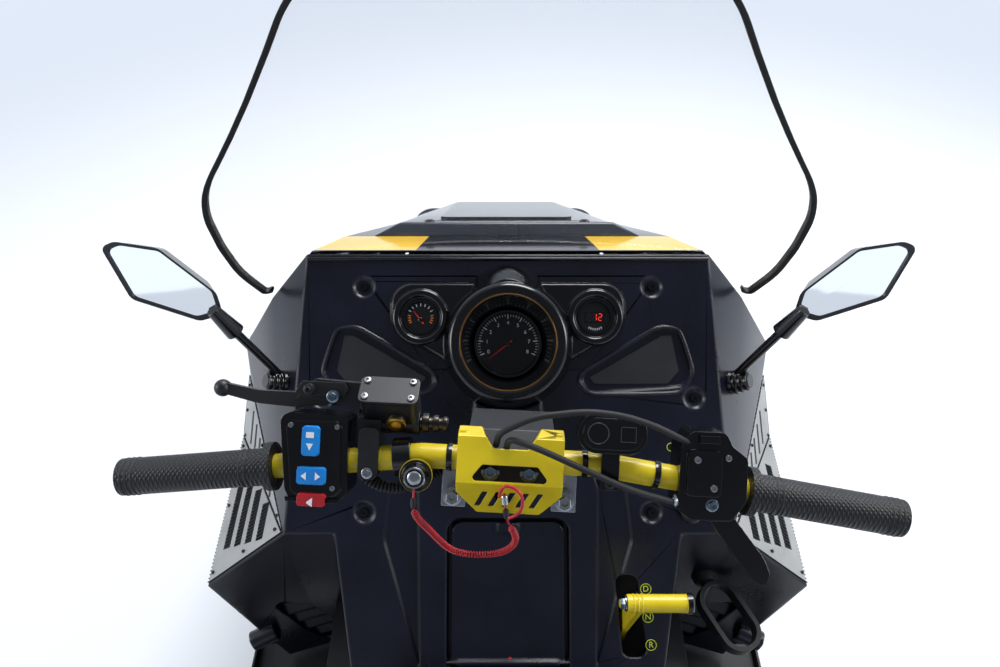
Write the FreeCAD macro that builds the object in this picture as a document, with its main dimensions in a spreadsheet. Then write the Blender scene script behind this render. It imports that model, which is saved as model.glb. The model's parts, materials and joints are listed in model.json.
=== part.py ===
import FreeCAD, Part
import math
import os
import Sketcher

# Snowmobile, a wide-track utility machine, in millimetres.
# Frame: +Y points to the nose, +X to the rider's right, +Z up. The origin is on
# the ground, midway between the bumpers and midway between the mirror tips.

V = FreeCAD.Vector
Placement = FreeCAD.Placement
Rotation = FreeCAD.Rotation
X_AXIS = V(1, 0, 0)
Y_AXIS = V(0, 1, 0)
Z_AXIS = V(0, 0, 1)
RIGHT, LEFT = 1, -1

# name, number, what it is
SIZES = [
    ("overall_length", 2860, "over both bumpers"),
    ("seat_gap", 0.3, "between pieces that only rest on each other"),
    ("motion_gap", 6, "between a moving piece and what it passes"),
    # tunnel, footboards and chassis
    ("tunnel_top", 520, "height of its top face"),
    ("tunnel_foot", 330, "height of its lower edges"),
    ("tunnel_sheet", 3, "sheet thickness"),
    ("tunnel_front", 390, "its front end"),
    ("tunnel_rear", -1300, "its rear end"),
    ("board_width", 167, "each footboard, from the tunnel out"),
    ("board_sheet", 4, "footboard thickness"),
    ("board_lip", 22, "upturned outer edge"),
    ("board_front", 300, "where the toe plate starts to rise"),
    ("board_rear", -1200, "rear end of the footboards"),
    ("rail_beam", 30, "square chassis tube"),
    ("rail_spread", 110, "middle of each chassis tube from the centre"),
    ("rail_front", 1150, "front end of the chassis tubes"),
    # bodywork
    ("cowl_wall", 4, "moulded wall of the dash and console"),
    ("pan_wall", 4, "moulded wall of the belly pan"),
    ("hood_wall", 4, "moulded wall of the hood"),
    ("hood_rear", 612, "rear edge of the hood"),
    ("dash_slope", 39.4, "dash plane above the horizontal, degrees"),
    ("dash_low_y", 297, "lower edge of the dash plane"),
    ("dash_low_z", 741, "its height"),
    ("hinge_y", 1330, "hood hinge"),
    ("hinge_z", 425, "hood hinge height"),
    ("hinge_pin", 8, "diameter of the hood hinge pins"),
    # screen and mirrors
    ("screen_sheet", 4, "clear windshield"),
    ("trim_thick", 10, "rubber edge of the windshield"),
    ("mirror_tip", 505, "outer end of each mirror from the centre"),
    # track
    ("track_width", 500, "rubber track"),
    ("track_clear", 20, "from the track to the tunnel on each side"),
    ("belt", 18, "belt thickness"),
    ("lug", 22, "lug height"),
    ("lug_count", 50, "lugs around the loop"),
    ("drive_radius", 95, "belt inside radius at the drive sprockets"),
    ("nose_radius", 65, "belt inside radius at the front lower wheels"),
    ("idler_radius", 90, "belt inside radius at the rear idlers"),
    ("axle", 30, "drive axle diameter"),
    ("idler_axle", 20, "idler axle diameter"),
    ("slide_spread", 130, "middle of each slide rail from the centre"),
    ("slide_thick", 12, "slide rail thickness"),
    # steering, struts and skis
    ("rake", 22, "steering column and struts lean back, degrees"),
    ("steer_rest", 3, "handlebar turned to the right as it stands, degrees"),
    ("column_foot_y", 543, "lower end of the steering column"),
    ("column_foot_z", 283, "its height"),
    ("arm_length", 94.9, "steering arms, joint to pivot"),
    ("arm_splay", 30, "sideways offset of each steering arm's eye"),
    ("column_tube", 26, "steering column diameter"),
    ("bar_tube", 22.2, "handlebar diameter"),
    ("bar_y", 168, "handlebar centre"),
    ("bar_z", 1120, "handlebar height at its centre"),
    ("bar_half", 350, "half the handlebar's width"),
    ("grip_radius", 17, "rubber grips"),
    ("grip_length", 138, "rubber grips"),
    ("ski_stance", 790, "between the ski centres"),
    ("ski_bolt_y", 1000, "ski pivot bolt"),
    ("ski_bolt_z", 150, "its height"),
    ("ski_width", 150, "ski blade"),
    ("ski_bolt", 16, "diameter of the ski pivot bolt"),
    ("leg_radius", 18, "sliding strut leg"),
    ("housing_radius", 25, "turning strut housing"),
    ("collar_radius", 36, "fixed bearing collar of each strut"),
    # seat and load
    ("seat_width", 340, "cushion"),
    ("rack_tube", 22, "luggage rack tube diameter"),
    ("bumper_tube", 32, "front bumper diameter"),
    ("rear_tube", 28, "rear bumper diameter"),
]


class Size(float):
    """A number that remembers the sheet formula it comes from."""

    def __new__(cls, number, formula):
        made = super().__new__(cls, number)
        made.formula = formula
        return made

    def __add__(self, other):
        return Size(float(self) + float(other), f"({self.formula} + {formula(other)})")

    def __radd__(self, other):
        return Size(float(other) + float(self), f"({formula(other)} + {self.formula})")

    def __sub__(self, other):
        return Size(float(self) - float(other), f"({self.formula} - {formula(other)})")

    def __rsub__(self, other):
        return Size(float(other) - float(self), f"({formula(other)} - {self.formula})")

    def __mul__(self, other):
        return Size(float(self) * float(other), f"({self.formula} * {formula(other)})")

    def __rmul__(self, other):
        return Size(float(other) * float(self), f"({formula(other)} * {self.formula})")

    def __truediv__(self, other):
        return Size(float(self) / float(other), f"({self.formula} / {formula(other)})")

    def __neg__(self):
        return Size(-float(self), f"(-{self.formula})")


def formula(value):
    if isinstance(value, Size):
        return value.formula
    return f"{float(value):.6f}"


doc = FreeCAD.newDocument("snowmobile")
sheet = doc.addObject("Spreadsheet::Sheet", "sizes")


class Sizes:
    """The driving dimensions, by name."""


size = Sizes()
for row, (name, number, note) in enumerate(SIZES, 1):
    sheet.set(f"A{row}", name)
    sheet.set(f"B{row}", str(number))
    sheet.set(f"C{row}", note)
    sheet.setAlias(f"B{row}", name)
    setattr(size, name, Size(number, "sizes." + name))
doc.recompute()

pieces = []


def keep(label, thing):
    """Name a finished sub-part, which is then exported."""
    thing.Label = label
    pieces.append(thing)
    return thing


def bind(thing, prop, value):
    """Give a property its number, and its formula where it has one."""
    setattr(thing, prop, float(value))
    if isinstance(value, Size):
        thing.setExpression(prop, value.formula)


def put(thing, place):
    """Place something by its corner or centre, bound to the sheet."""
    thing.Placement.Base = V(*[float(value) for value in place])
    for letter, value in zip("xyz", place):
        if isinstance(value, Size):
            thing.setExpression("Placement.Base." + letter, value.formula)
    return thing


def block(name, low, high):
    """A box between two corners."""
    box = doc.addObject("Part::Box", name)
    for prop, start, end in zip(("Length", "Width", "Height"), low, high):
        bind(box, prop, end - start)
    return put(box, low)


def rod(name, start, end, radius):
    """A round bar between two points."""
    start, end = V(*start), V(*end)
    bar = doc.addObject("Part::Cylinder", name)
    bind(bar, "Radius", radius)
    bar.Height = (end - start).Length
    bar.Placement = Placement(start, Rotation(Z_AXIS, end - start))
    return bar


def ball(name, centre, radius):
    bead = doc.addObject("Part::Sphere", name)
    bind(bead, "Radius", radius)
    bead.Placement.Base = V(*centre)
    return bead


def bars(name, points, radius):
    """Round bar through several points, with ball corners, as a list of objects."""
    made = [rod(f"{name}_{i}", *pair, radius) for i, pair in enumerate(zip(points, points[1:]))]
    made += [ball(f"{name}_corner_{i}", point, radius) for i, point in enumerate(points[1:-1])]
    return made


def fuse(name, things):
    joined = doc.addObject("Part::MultiFuse", name)
    joined.Shapes = things
    joined.Refine = True
    return joined


def cut(name, base, tool):
    left = doc.addObject("Part::Cut", name)
    left.Base = base
    left.Tool = tool
    return left


def group(name, things):
    """Several solids that do not touch, in one sub-part."""
    together = doc.addObject("Part::Compound", name)
    together.Links = things
    return together


def solid(name, shape):
    """A sub-part whose shape is worked out point by point."""
    feature = doc.addObject("Part::Feature", name)
    feature.Shape = shape
    return feature


def profile(name, plane, points, length, base=(0, 0, 0)):
    """A sketched outline, each corner tied to the sheet, padded to a length.

    XY goes up from its plane, YZ goes to the right, XZ goes back from it.
    """
    body = doc.addObject("PartDesign::Body", name)
    sketch = body.newObject("Sketcher::SketchObject", name + "_outline")
    origin = next(item for item in body.Origin.OriginFeatures if item.Role == plane + "_Plane")
    sketch.AttachmentSupport = [(origin, "")]
    sketch.MapMode = "FlatFace"
    corners = [V(float(first), float(second), 0) for first, second in points]
    for start, end in zip(corners, corners[1:] + corners[:1]):
        sketch.addGeometry(Part.LineSegment(start, end), False)
    for index in range(len(corners)):
        following = (index + 1) % len(corners)
        sketch.addConstraint(Sketcher.Constraint("Coincident", index, 2, following, 1))
    for index, corner in enumerate(points):
        for kind, value in zip(("DistanceX", "DistanceY"), corner):
            number = sketch.addConstraint(Sketcher.Constraint(kind, -1, 1, index, 1, float(value)))
            if isinstance(value, Size):
                sketch.setExpression(f"Constraints[{number}]", value.formula)
    pad = body.newObject("PartDesign::Pad", name + "_pad")
    pad.Profile = sketch
    bind(pad, "Length", length)
    return put(body, base)


def flat(points):
    """A flat face through the points."""
    return Part.Face(Part.makePolygon([*points, points[0]]))


def prism(points, along):
    """A straight prism: a flat outline swept along a vector."""
    return flat(points).extrude(along)


def rounded(points, radii):
    """A flat face through the points, each corner rounded as far as it has room."""
    if not isinstance(radii, list):
        radii = [radii] * len(points)
    edges = []
    ends = []
    for index, (corner, radius) in enumerate(zip(points, radii)):
        back = points[index - 1] - corner
        ahead = points[(index + 1) % len(points)] - corner
        half_turn = (math.pi - back.getAngle(ahead)) / 2
        room = 0.48 * min(back.Length, ahead.Length)
        reach = min(radius * math.tan(half_turn), room)
        if reach < 0.05:
            ends.append((corner, corner))
            continue
        back.normalize()
        ahead.normalize()
        between = (back + ahead).normalize()
        start, end = corner + back * reach, corner + ahead * reach
        true_radius = reach / math.tan(half_turn)
        middle = corner + between * (true_radius / math.cos(half_turn) - true_radius)
        edges.append(Part.Arc(start, middle, end).toShape())
        ends.append((start, end))
    for (_, start), (end, _) in zip(ends, ends[1:] + ends[:1]):
        edges.append(Part.LineSegment(start, end).toShape())
    return Part.Face(Part.Wire(Part.__sortEdges__(edges)))


def toward(points, share):
    """The same outline, drawn in to its middle by a share of the way."""
    middle = sum(points, V()) / len(points)
    return [point + (middle - point) * share for point in points]


def mirrored(shape):
    return shape.mirror(V(0, 0, 0), X_AXIS)


def both_sides(shape):
    return [shape, mirrored(shape)]


def closed_solid(faces):
    """A solid from flat faces that meet edge to edge."""
    made = Part.makeSolid(Part.makeShell([flat(face) for face in faces]))
    if made.Volume < 0:
        made.reverse()
    return made


def name_of(corner):
    return (round(corner.x, 3), round(corner.y, 3), round(corner.z, 3))


def triangles(outline):
    """A fan of triangles, for a face whose corners are not in one plane."""
    return [[outline[0], second, third] for second, third in zip(outline[1:], outline[2:])]


def edges_of(face):
    names = [name_of(corner) for corner in face]
    return list(zip(names, names[1:] + names[:1]))


def outward(faces):
    """Turn the triangles of a closed body so that they all face out."""
    by_edge = {}
    for index, face in enumerate(faces):
        for edge in edges_of(face):
            by_edge.setdefault(frozenset(edge), []).append(index)
    turned = {0: faces[0]}
    waiting = [0]
    while waiting:
        index = waiting.pop()
        for edge in edges_of(turned[index]):
            for other in by_edge[frozenset(edge)]:
                if other not in turned:
                    same_way = edge in edges_of(faces[other])
                    turned[other] = faces[other][::-1] if same_way else faces[other]
                    waiting.append(other)
    ordered = [turned[index] for index in range(len(faces))]
    volume = sum(face[0].dot(face[1].cross(face[2])) for face in ordered)
    return ordered if volume > 0 else [face[::-1] for face in ordered]


def meet(planes):
    """The shift that moves along each normal by its distance, nearest fit."""
    damping = 1e-4
    rows = [[damping if i == j else 0.0 for j in range(3)] for i in range(3)]
    right = [0.0, 0.0, 0.0]
    for normal, distance in planes:
        parts = (normal.x, normal.y, normal.z)
        for i in range(3):
            right[i] += parts[i] * distance
            for j in range(3):
                rows[i][j] += parts[i] * parts[j]
    matrix = FreeCAD.Matrix(
        *rows[0], 0,
        *rows[1], 0,
        *rows[2], 0,
        0, 0, 0, 1)
    return matrix.inverse().multVec(V(*right))


def moved(faces, distances):
    """The same triangles after each moves along its normal by its distance."""
    around = {}
    for face, distance in zip(faces, distances):
        normal = (face[1] - face[0]).cross(face[2] - face[0]).normalize()
        for corner in face:
            listed = around.setdefault(name_of(corner), [])
            if all(abs(normal.dot(other) - 1) > 0.001 for other, _ in listed):
                listed.append((normal, distance))
    shifts = {key: meet(listed) for key, listed in around.items()}
    return [[corner + shifts[name_of(corner)] for corner in face] for face in faces]


def shell(closed, opened, wall, past=30):
    """A moulded shell, and its outer form: the opened faces get no wall."""
    walls = [face for outline in closed for face in triangles(outline)]
    mouths = [face for outline in opened for face in triangles(outline)]
    faces = outward(walls + mouths)
    distances = [-float(wall)] * len(walls) + [past] * len(mouths)
    outer = closed_solid(faces)
    inner = closed_solid(moved(faces, distances))
    return outer, outer.cut(inner)


# Tunnel

half_tunnel = size.track_width / 2 + size.track_clear + size.tunnel_sheet
inner_half = half_tunnel - size.tunnel_sheet
tunnel_length = size.tunnel_front - size.tunnel_rear
tunnel_sheet = profile(
    "tunnel_sheet", "XZ",
    [(-half_tunnel, size.tunnel_foot), (-half_tunnel, size.tunnel_top),
     (half_tunnel, size.tunnel_top), (half_tunnel, size.tunnel_foot),
     (inner_half, size.tunnel_foot), (inner_half, size.tunnel_top - size.tunnel_sheet),
     (-inner_half, size.tunnel_top - size.tunnel_sheet), (-inner_half, size.tunnel_foot)],
    tunnel_length, (0, size.tunnel_front, 0))
bulkhead = block(
    "bulkhead",
    (-inner_half, size.tunnel_front - size.tunnel_sheet, size.tunnel_foot),
    (inner_half, size.tunnel_front, size.tunnel_top - size.tunnel_sheet))
keep("tunnel", fuse("tunnel_joined", [tunnel_sheet, bulkhead]))

# Footboards

board_top = size.tunnel_foot
board_low = size.tunnel_foot - size.board_sheet
board_out = half_tunnel + size.board_width
toe_rise, toe_run = 68, 84
snow_slots, snow_slot_pitch, snow_slot_wide, snow_slot_long = 11, 125, 34, 96
boards = []
for side in (LEFT, RIGHT):
    tray = profile(
        f"board_tray_{side + 1}", "XZ",
        [(side * half_tunnel, board_low), (side * board_out, board_low),
         (side * board_out, board_top + size.board_lip),
         (side * (board_out - size.board_sheet), board_top + size.board_lip),
         (side * (board_out - size.board_sheet), board_top),
         (side * (half_tunnel + size.board_sheet), board_top),
         (side * (half_tunnel + size.board_sheet), board_top + size.board_lip),
         (side * half_tunnel, board_top + size.board_lip)],
        size.board_front - size.board_rear, (0, size.board_front, 0))
    toe_left = half_tunnel if side == RIGHT else -board_out
    toe = profile(
        f"toe_plate_{side + 1}", "YZ",
        [(size.board_front, board_low), (size.board_front + toe_run, board_low + toe_rise),
         (size.board_front + toe_run, board_top + toe_rise), (size.board_front, board_top)],
        size.board_width, (toe_left, 0, 0))
    board = fuse(f"board_{side + 1}", [tray, toe])
    slots = [
        block(f"snow_slot_{side + 1}_{number}",
              (side * (half_tunnel + size.board_width / 2) - snow_slot_long / 2,
               size.board_front - snow_slot_pitch * (number + 1), board_low - 5),
              (side * (half_tunnel + size.board_width / 2) + snow_slot_long / 2,
               size.board_front - snow_slot_pitch * (number + 1) + snow_slot_wide, board_top + 5))
        for number in range(snow_slots)
    ]
    boards.append(cut(f"board_slotted_{side + 1}", board, fuse(f"snow_slots_{side + 1}", slots)))
keep("footboards", group("footboards_pair", boards))

# Belly pan

# y, top half width, top, bottom half width, bottom
PAN_SECTIONS = [
    (390.3, 328, 424, 270, 215),
    (640, 328, 424, 280, 210),
    (830, 318, 424, 260, 212),
    (1030, 294, 424, 230, 235),
    (1230, 256, 424, 180, 300),
    (1320, 218, 424, 140, 370),
]


def pan_faces():
    rings = [
        [V(-top, y, z), V(-low, y, base), V(low, y, base), V(top, y, z)]
        for y, top, z, low, base in PAN_SECTIONS
    ]
    rear, front = rings[0], rings[-1]
    closed = [[rear[3], rear[2], rear[1], rear[0]], front]
    opened = []
    for back, ahead in zip(rings, rings[1:]):
        for index in range(3):
            closed.append([back[index], back[index + 1], ahead[index + 1], ahead[index]])
        opened.append([back[3], back[0], ahead[0], ahead[3]])
    return closed, opened


rake = math.radians(size.rake)
steer_axis = V(0, -math.sin(rake), math.cos(rake))
half_stance = size.ski_stance / 2
column_foot = V(0, size.column_foot_y, size.column_foot_z)
bar_centre = V(0, size.bar_y, size.bar_z)


def on_strut(side, distance):
    """A point on a strut's axis, measured up from the ski bolt."""
    return V(side * half_stance, size.ski_bolt_y, size.ski_bolt_z) + steer_axis * distance


def on_column(distance):
    return column_foot + steer_axis * distance


def arm_offset(side):
    """From a steering pivot to its arm's eye, square to the steering axis."""
    back = math.sqrt(size.arm_length ** 2 - size.arm_splay ** 2)
    rearward = V(0, -math.cos(rake), -math.sin(rake))
    return V(side * size.arm_splay, 0, 0) + rearward * back


pan_outer, pan_shell = shell(*pan_faces(), size.pan_wall)
# the tie rods reach the struts through long slots in the sides
tie_slot = Part.makeBox(110, 140, 86, V(250, 655, 312))
for slot in both_sides(tie_slot):
    pan_shell = pan_shell.cut(slot)
rail_room = size.rail_beam / 2 + size.seat_gap
rail_hole = Part.makeBox(
    2 * rail_room, 20, 2 * rail_room,
    V(size.rail_spread - rail_room, size.tunnel_front - 5, size.tunnel_foot - rail_room))
for hole in both_sides(rail_hole):
    pan_shell = pan_shell.cut(hole)
bearing_half, bearing_low, bearing_high = 40, 405, 440
bearing_notch = Part.makeBox(
    2 * (bearing_half + size.seat_gap), 20, 40,
    V(-bearing_half - size.seat_gap, size.tunnel_front - 5, bearing_low - size.seat_gap))
pan_shell = pan_shell.cut(bearing_notch)

# Chassis tubes, cross-beam and strut collars

beam_half, beam_deep = 25, 25
collar_low, collar_high = 340, 480
collar_middle = (collar_low + collar_high) / 2
beam_centre = on_strut(RIGHT, collar_middle)
rail_low = size.tunnel_foot - size.rail_beam / 2
rail_top = rail_low + size.rail_beam
frame_parts = []
for side in (LEFT, RIGHT):
    frame_parts.append(block(
        f"chassis_rail_{side + 1}",
        (side * size.rail_spread - size.rail_beam / 2, size.tunnel_front, rail_low),
        (side * size.rail_spread + size.rail_beam / 2, size.rail_front, rail_top)))
    frame_parts.append(block(
        f"beam_post_{side + 1}",
        (side * size.rail_spread - size.rail_beam / 2, beam_centre.y - beam_half, rail_top),
        (side * size.rail_spread + size.rail_beam / 2, beam_centre.y + beam_half, beam_centre.z)))
beam_end = half_stance - size.housing_radius - 4
frame_parts.append(block(
    "cross_beam",
    (-beam_end, beam_centre.y - beam_half, beam_centre.z - beam_deep),
    (beam_end, beam_centre.y + beam_half, beam_centre.z + beam_deep)))
for side in (LEFT, RIGHT):
    frame_parts.append(rod(
        f"collar_body_{side + 1}", on_strut(side, collar_low), on_strut(side, collar_high),
        size.collar_radius))
frame_parts.append(block(
    "column_bearing", (-bearing_half, size.tunnel_front, bearing_low), (bearing_half, 520, bearing_high)))
frame_whole = fuse("frame_whole", frame_parts)
bearings = [
    rod(f"bearing_{side + 1}", on_strut(side, collar_low - 5), on_strut(side, collar_high + 5),
        size.housing_radius + size.seat_gap)
    for side in (LEFT, RIGHT)
]
bearings.append(rod(
    "column_bore", on_column(80), on_column(220), size.column_tube / 2 + size.seat_gap))
keep("front_frame", cut("frame_bored", frame_whole, group("bearings", bearings)))

# Engine, one plain block on the chassis tubes

keep("engine_block", block("engine", (-170, 548, rail_top), (170, 800, 675)))

# Front bumper: a round tube loop on two legs

bumper_radius = size.bumper_tube / 2
bumper_y = size.overall_length / 2 - bumper_radius
loop_low, loop_high, loop_half, loop_corner = 341, 425, 230, 40


def rounded_loop(half_width, low, high, corner, y):
    """A rounded rectangle of wire in an upright plane across the machine."""
    across, up = half_width - corner, (high - low) / 2 - corner
    middle = (low + high) / 2
    diagonal = corner * math.sqrt(0.5)
    quarters = [(1, 1), (-1, 1), (-1, -1), (1, -1)]
    edges = []
    ends = []
    for sx, sz in quarters:
        centre = V(sx * across, y, middle + sz * up)
        beside = centre + V(sx * corner, 0, 0)
        above = centre + V(0, 0, sz * corner)
        between = centre + V(sx * diagonal, 0, sz * diagonal)
        pair = (beside, above) if sx * sz > 0 else (above, beside)
        edges.append(Part.Arc(pair[0], between, pair[1]).toShape())
        ends.append(pair)
    for (_, start), (end, _) in zip(ends, ends[1:] + ends[:1]):
        edges.append(Part.LineSegment(start, end).toShape())
    return Part.Wire(Part.__sortEdges__(edges))


def pipe(wire, radius):
    """A round tube, solid, along a wire of straight runs and arcs."""
    first = wire.Edges[0]
    start = first.valueAt(first.FirstParameter)
    heading = first.tangentAt(first.FirstParameter)
    ring = Part.Wire(Part.makeCircle(radius, start, heading))
    return wire.makePipeShell([ring], True, True)


loop_wire = rounded_loop(loop_half, loop_low, loop_high, loop_corner, bumper_y)
bumper = pipe(loop_wire, bumper_radius)
leg_start = V(size.rail_spread, size.rail_front + 1.2, rail_low + size.rail_beam / 2)
leg_end = V(size.rail_spread, bumper_y, loop_low)
leg_run = leg_end - leg_start
leg = Part.makeCylinder(bumper_radius - 2, leg_run.Length, leg_start, leg_run)
leg_hole = Part.makeCylinder(bumper_radius - 2 + size.seat_gap, leg_run.Length, leg_start, leg_run)
for side_leg in both_sides(leg):
    bumper = bumper.fuse(side_leg)
keep("front_bumper", solid("bumper_tubes", bumper))
for hole in both_sides(leg_hole):
    pan_shell = pan_shell.cut(hole)
# hinge ears with their pins stand on the nose of the pan
pin_radius = size.hinge_pin / 2
ear_radius = 8
ear_inner, ear_outer, ear_thick = 120, 165, 14
pan_nose = PAN_SECTIONS[-1][0]
for ear in (ear_inner, ear_outer):
    foot = Part.makeBox(
        ear_thick, size.hinge_y + ear_radius - pan_nose + size.pan_wall, 24,
        V(ear, pan_nose - size.pan_wall, size.hinge_z - 27))
    upright = Part.makeBox(ear_thick, 2 * ear_radius, 12, V(ear, size.hinge_y - ear_radius, size.hinge_z - 12))
    eye = Part.makeCylinder(ear_radius, ear_thick, V(ear, size.hinge_y, size.hinge_z), X_AXIS)
    for part in (foot, upright, eye):
        for piece in both_sides(part):
            pan_shell = pan_shell.fuse(piece)
pin = Part.makeCylinder(
    pin_radius, ear_outer - ear_inner, V(ear_inner + 2, size.hinge_y, size.hinge_z), X_AXIS)
for piece in both_sides(pin):
    pan_shell = pan_shell.fuse(piece)
keep("belly_pan", solid("pan", pan_shell))

# Hood: a moulded shell that tilts forward on the nose

# y, then x and z of the top edge, shoulder, side edge, waist and lower edge
HOOD_SECTIONS = [
    (size.hood_rear, (281, 985), (347, 905), (416, 800), (428, 690), (400, 430)),
    (700, (255, 938), (318, 868), (385, 770), (392, 670), (345, 430)),
    (830, (176, 865), (270, 812), (325, 735), (335, 640), (325, 430)),
    (1030, (106, 752), (208, 708), (282, 652), (300, 590), (300, 430)),
    (1230, (88, 594), (166, 576), (230, 550), (262, 515), (262, 430)),
    (1320, (80, 526), (142, 518), (200, 502), (225, 478), (225, 430)),
]


def hood_faces():
    rings = []
    for y, *right in HOOD_SECTIONS:
        half = [V(x, y, z) for x, z in right]
        rings.append([V(-point.x, point.y, point.z) for point in reversed(half)] + half)
    closed, opened = [rings[-1]], [rings[0]]
    for back, ahead in zip(rings, rings[1:]):
        for index in range(len(back) - 1):
            closed.append([back[index], back[index + 1], ahead[index + 1], ahead[index]])
        opened.append([back[-1], back[0], ahead[0], ahead[-1]])
    return closed, opened


hood_outer, hood_shell = shell(*hood_faces(), size.hood_wall)
# open slots let the hood lift off the cross-beam
beam_slot = Part.makeBox(150, 83, 145, V(250, 796, 420))
for slot in both_sides(beam_slot):
    hood_shell = hood_shell.cut(slot)
knuckle_clear = 1.3
knuckle_low = ear_inner + ear_thick + knuckle_clear
knuckle_long = ear_outer - ear_inner - ear_thick - 2 * knuckle_clear
barrel = Part.makeCylinder(ear_radius, knuckle_long, V(knuckle_low, size.hinge_y, size.hinge_z), X_AXIS)
hood_nose = HOOD_SECTIONS[-1][0]
tab = Part.makeBox(
    knuckle_long, size.hinge_y + 4 - hood_nose, 30, V(knuckle_low, hood_nose, size.hinge_z + 5))
bore = Part.makeCylinder(
    pin_radius + size.seat_gap, knuckle_long, V(knuckle_low, size.hinge_y, size.hinge_z), X_AXIS)
knuckle = barrel.fuse(tab).cut(bore)
for piece in both_sides(knuckle):
    hood_shell = hood_shell.fuse(piece)
# grille opening in the nose face between the lamps
nose_bar, nose_bars, nose_low = 7, 4, 448
nose_pitch = 15
nose_high = (nose_bars - 1) * nose_pitch + nose_bar
nose_opening = Part.makeBox(90, 30, nose_high, V(-45, hood_nose - 15, nose_low))
lamp_outline = [V(62, hood_nose - 12, 448), V(180, hood_nose - 12, 448),
                V(192, hood_nose - 12, 486), V(76, hood_nose - 12, 508)]
lamp_pocket = rounded(lamp_outline, 8).extrude(V(0, 30, 0))
for piece in both_sides(lamp_pocket):
    hood_shell = hood_shell.cut(piece)
hood_shell = hood_shell.cut(nose_opening)
bars_in_nose = [
    Part.makeBox(100, size.hood_wall, nose_bar, V(-50, hood_nose - size.hood_wall, nose_low + nose_pitch * step))
    for step in range(nose_bars)
]
for bar in bars_in_nose:
    hood_shell = hood_shell.fuse(bar)
# a cover plate lies on the sloping top, behind the nose
top_back, top_ahead = HOOD_SECTIONS[2], HOOD_SECTIONS[3]
top_fall = (top_ahead[1][1] - top_back[1][1]) / (top_ahead[0] - top_back[0])
cover_start, cover_end, cover_thick = 846, 1022, 6


def on_hood_top(x, y, over=0):
    """A point on the flat top of the hood, or over it."""
    return V(x, y, top_back[1][1] + (y - top_back[0]) * top_fall + over)


cover_plate = [on_hood_top(118, cover_start, -2), on_hood_top(100, cover_end, -2),
               on_hood_top(-100, cover_end, -2), on_hood_top(-118, cover_start, -2)]
hood_shell = hood_shell.fuse(rounded(cover_plate, 14).extrude(V(0, 0, cover_thick + 2)))
keep("hood", solid("hood_moulding", hood_shell))
lamp = rounded(lamp_outline, 8).extrude(V(0, 10, 0))
keep("headlamps", group("lamp_pair", [
    solid("lamp_right", lamp), solid("lamp_left", mirrored(lamp))]))

# Dash and console: one moulded shell

dash_angle = math.radians(size.dash_slope)
dash_rise = math.tan(dash_angle)
dash_middle_y = 500


def dash_height(y):
    return size.dash_low_z + (y - size.dash_low_y) * dash_rise


dash_frame = Placement(
    V(0, dash_middle_y, dash_height(dash_middle_y)), Rotation(X_AXIS, size.dash_slope))


def on_dash(across, along, out=0):
    """A point from the middle of the dash: across, up its slope, and out of it."""
    return dash_frame.multVec(V(across, along, out))


cowl_front = 600
console_end = 143
wall_y = size.dash_low_y
under_z, skirt_z = 404, 440


def on_rear_wall(x, z):
    """A point on the swept-back outer part of the rear wall, right side."""
    return V(x, wall_y - 36 * (x - 311) / 121, z)


A = V(285, cowl_front, dash_height(cowl_front))
B = V(352, cowl_front, 905)
C = V(418, cowl_front, 800)
K = V(430, cowl_front, 725)
P2 = V(311, wall_y, size.dash_low_z)
P3 = on_rear_wall(432, 653)
Q = V(436, 520, 665)
Q1 = V(436, cowl_front, 668)
E1 = V(400, cowl_front, skirt_z)
E2 = on_rear_wall(398, skirt_z)
F1 = V(337, cowl_front, under_z)
F2 = on_rear_wall(337, under_z)
W = V(311, wall_y, under_z)
I2 = V(241, wall_y, size.dash_low_z)
C2 = V(213, console_end, dash_height(console_end))
D2 = V(218, console_end, size.tunnel_top)
G2 = V(250, wall_y, size.tunnel_top)


def left(point):
    return V(-point.x, point.y, point.z)


def across_middle(points):
    """An outline from its right-hand half, mirrored to close it."""
    return points + [left(point) for point in reversed(points)]


def cowl_faces():
    right_only = [
        [P2, A, B], [P2, B, C], [P2, C, K], [P2, K, Q], [P2, Q, P3], [K, Q1, Q],
        [P3, Q, E2], [Q, Q1, E1], [Q, E1, E2], [E1, F1, F2], [E1, F2, E2],
        [P2, P3, E2], [P2, E2, F2], [P2, F2, W], [I2, P2, W], [I2, W, G2],
        [I2, G2, D2], [I2, D2, C2],
        [A, P2, I2],
    ]
    closed = right_only + [[left(point) for point in face] for face in right_only]
    closed += [across_middle([A, I2]), across_middle([I2, C2]), across_middle([C2, D2]),
               across_middle([G2, W])]
    opened = [across_middle([A, B, C, K, Q1, E1, F1]), across_middle([F1, F2, W]),
              across_middle([G2, D2])]
    return closed, opened


cowl_outer, cowl = shell(*cowl_faces(), size.cowl_wall)
tunnel_room = Part.makeBox(
    2 * (half_tunnel + size.seat_gap), 400, 200,
    V(-half_tunnel - size.seat_gap, size.tunnel_front - 400 + size.seat_gap, size.tunnel_top - 200))
cowl = cowl.cut(tunnel_room)
column_room = Part.makeCylinder(
    size.column_tube / 2 + size.motion_gap, 400, on_column(400), steer_axis)


def dash_prism(outline, low, high):
    """A prism square to the dash, from an outline on it."""
    return prism([on_dash(across, along, low) for across, along in outline],
                 on_dash(0, 0, high) - on_dash(0, 0, low))


def dash_box(low, high):
    """A box square to the dash, from (across, along, out) corners."""
    outline = [(low[0], low[1]), (high[0], low[1]), (high[0], high[1]), (low[0], high[1])]
    return dash_prism(outline, low[2], high[2])


dash_out = (on_dash(0, 0, 1) - on_dash(0, 0, 0)).normalize()


def dash_pad(outline, radii, low, high):
    """A pad square to the dash with rounded corners."""
    face = rounded([on_dash(across, along, low) for across, along in outline], radii)
    return face.extrude(dash_out * (high - low))


def both_ways(right_half):
    """An outline on the dash from its right-hand half."""
    return right_half + [(-across, along) for across, along in reversed(right_half)]


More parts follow.
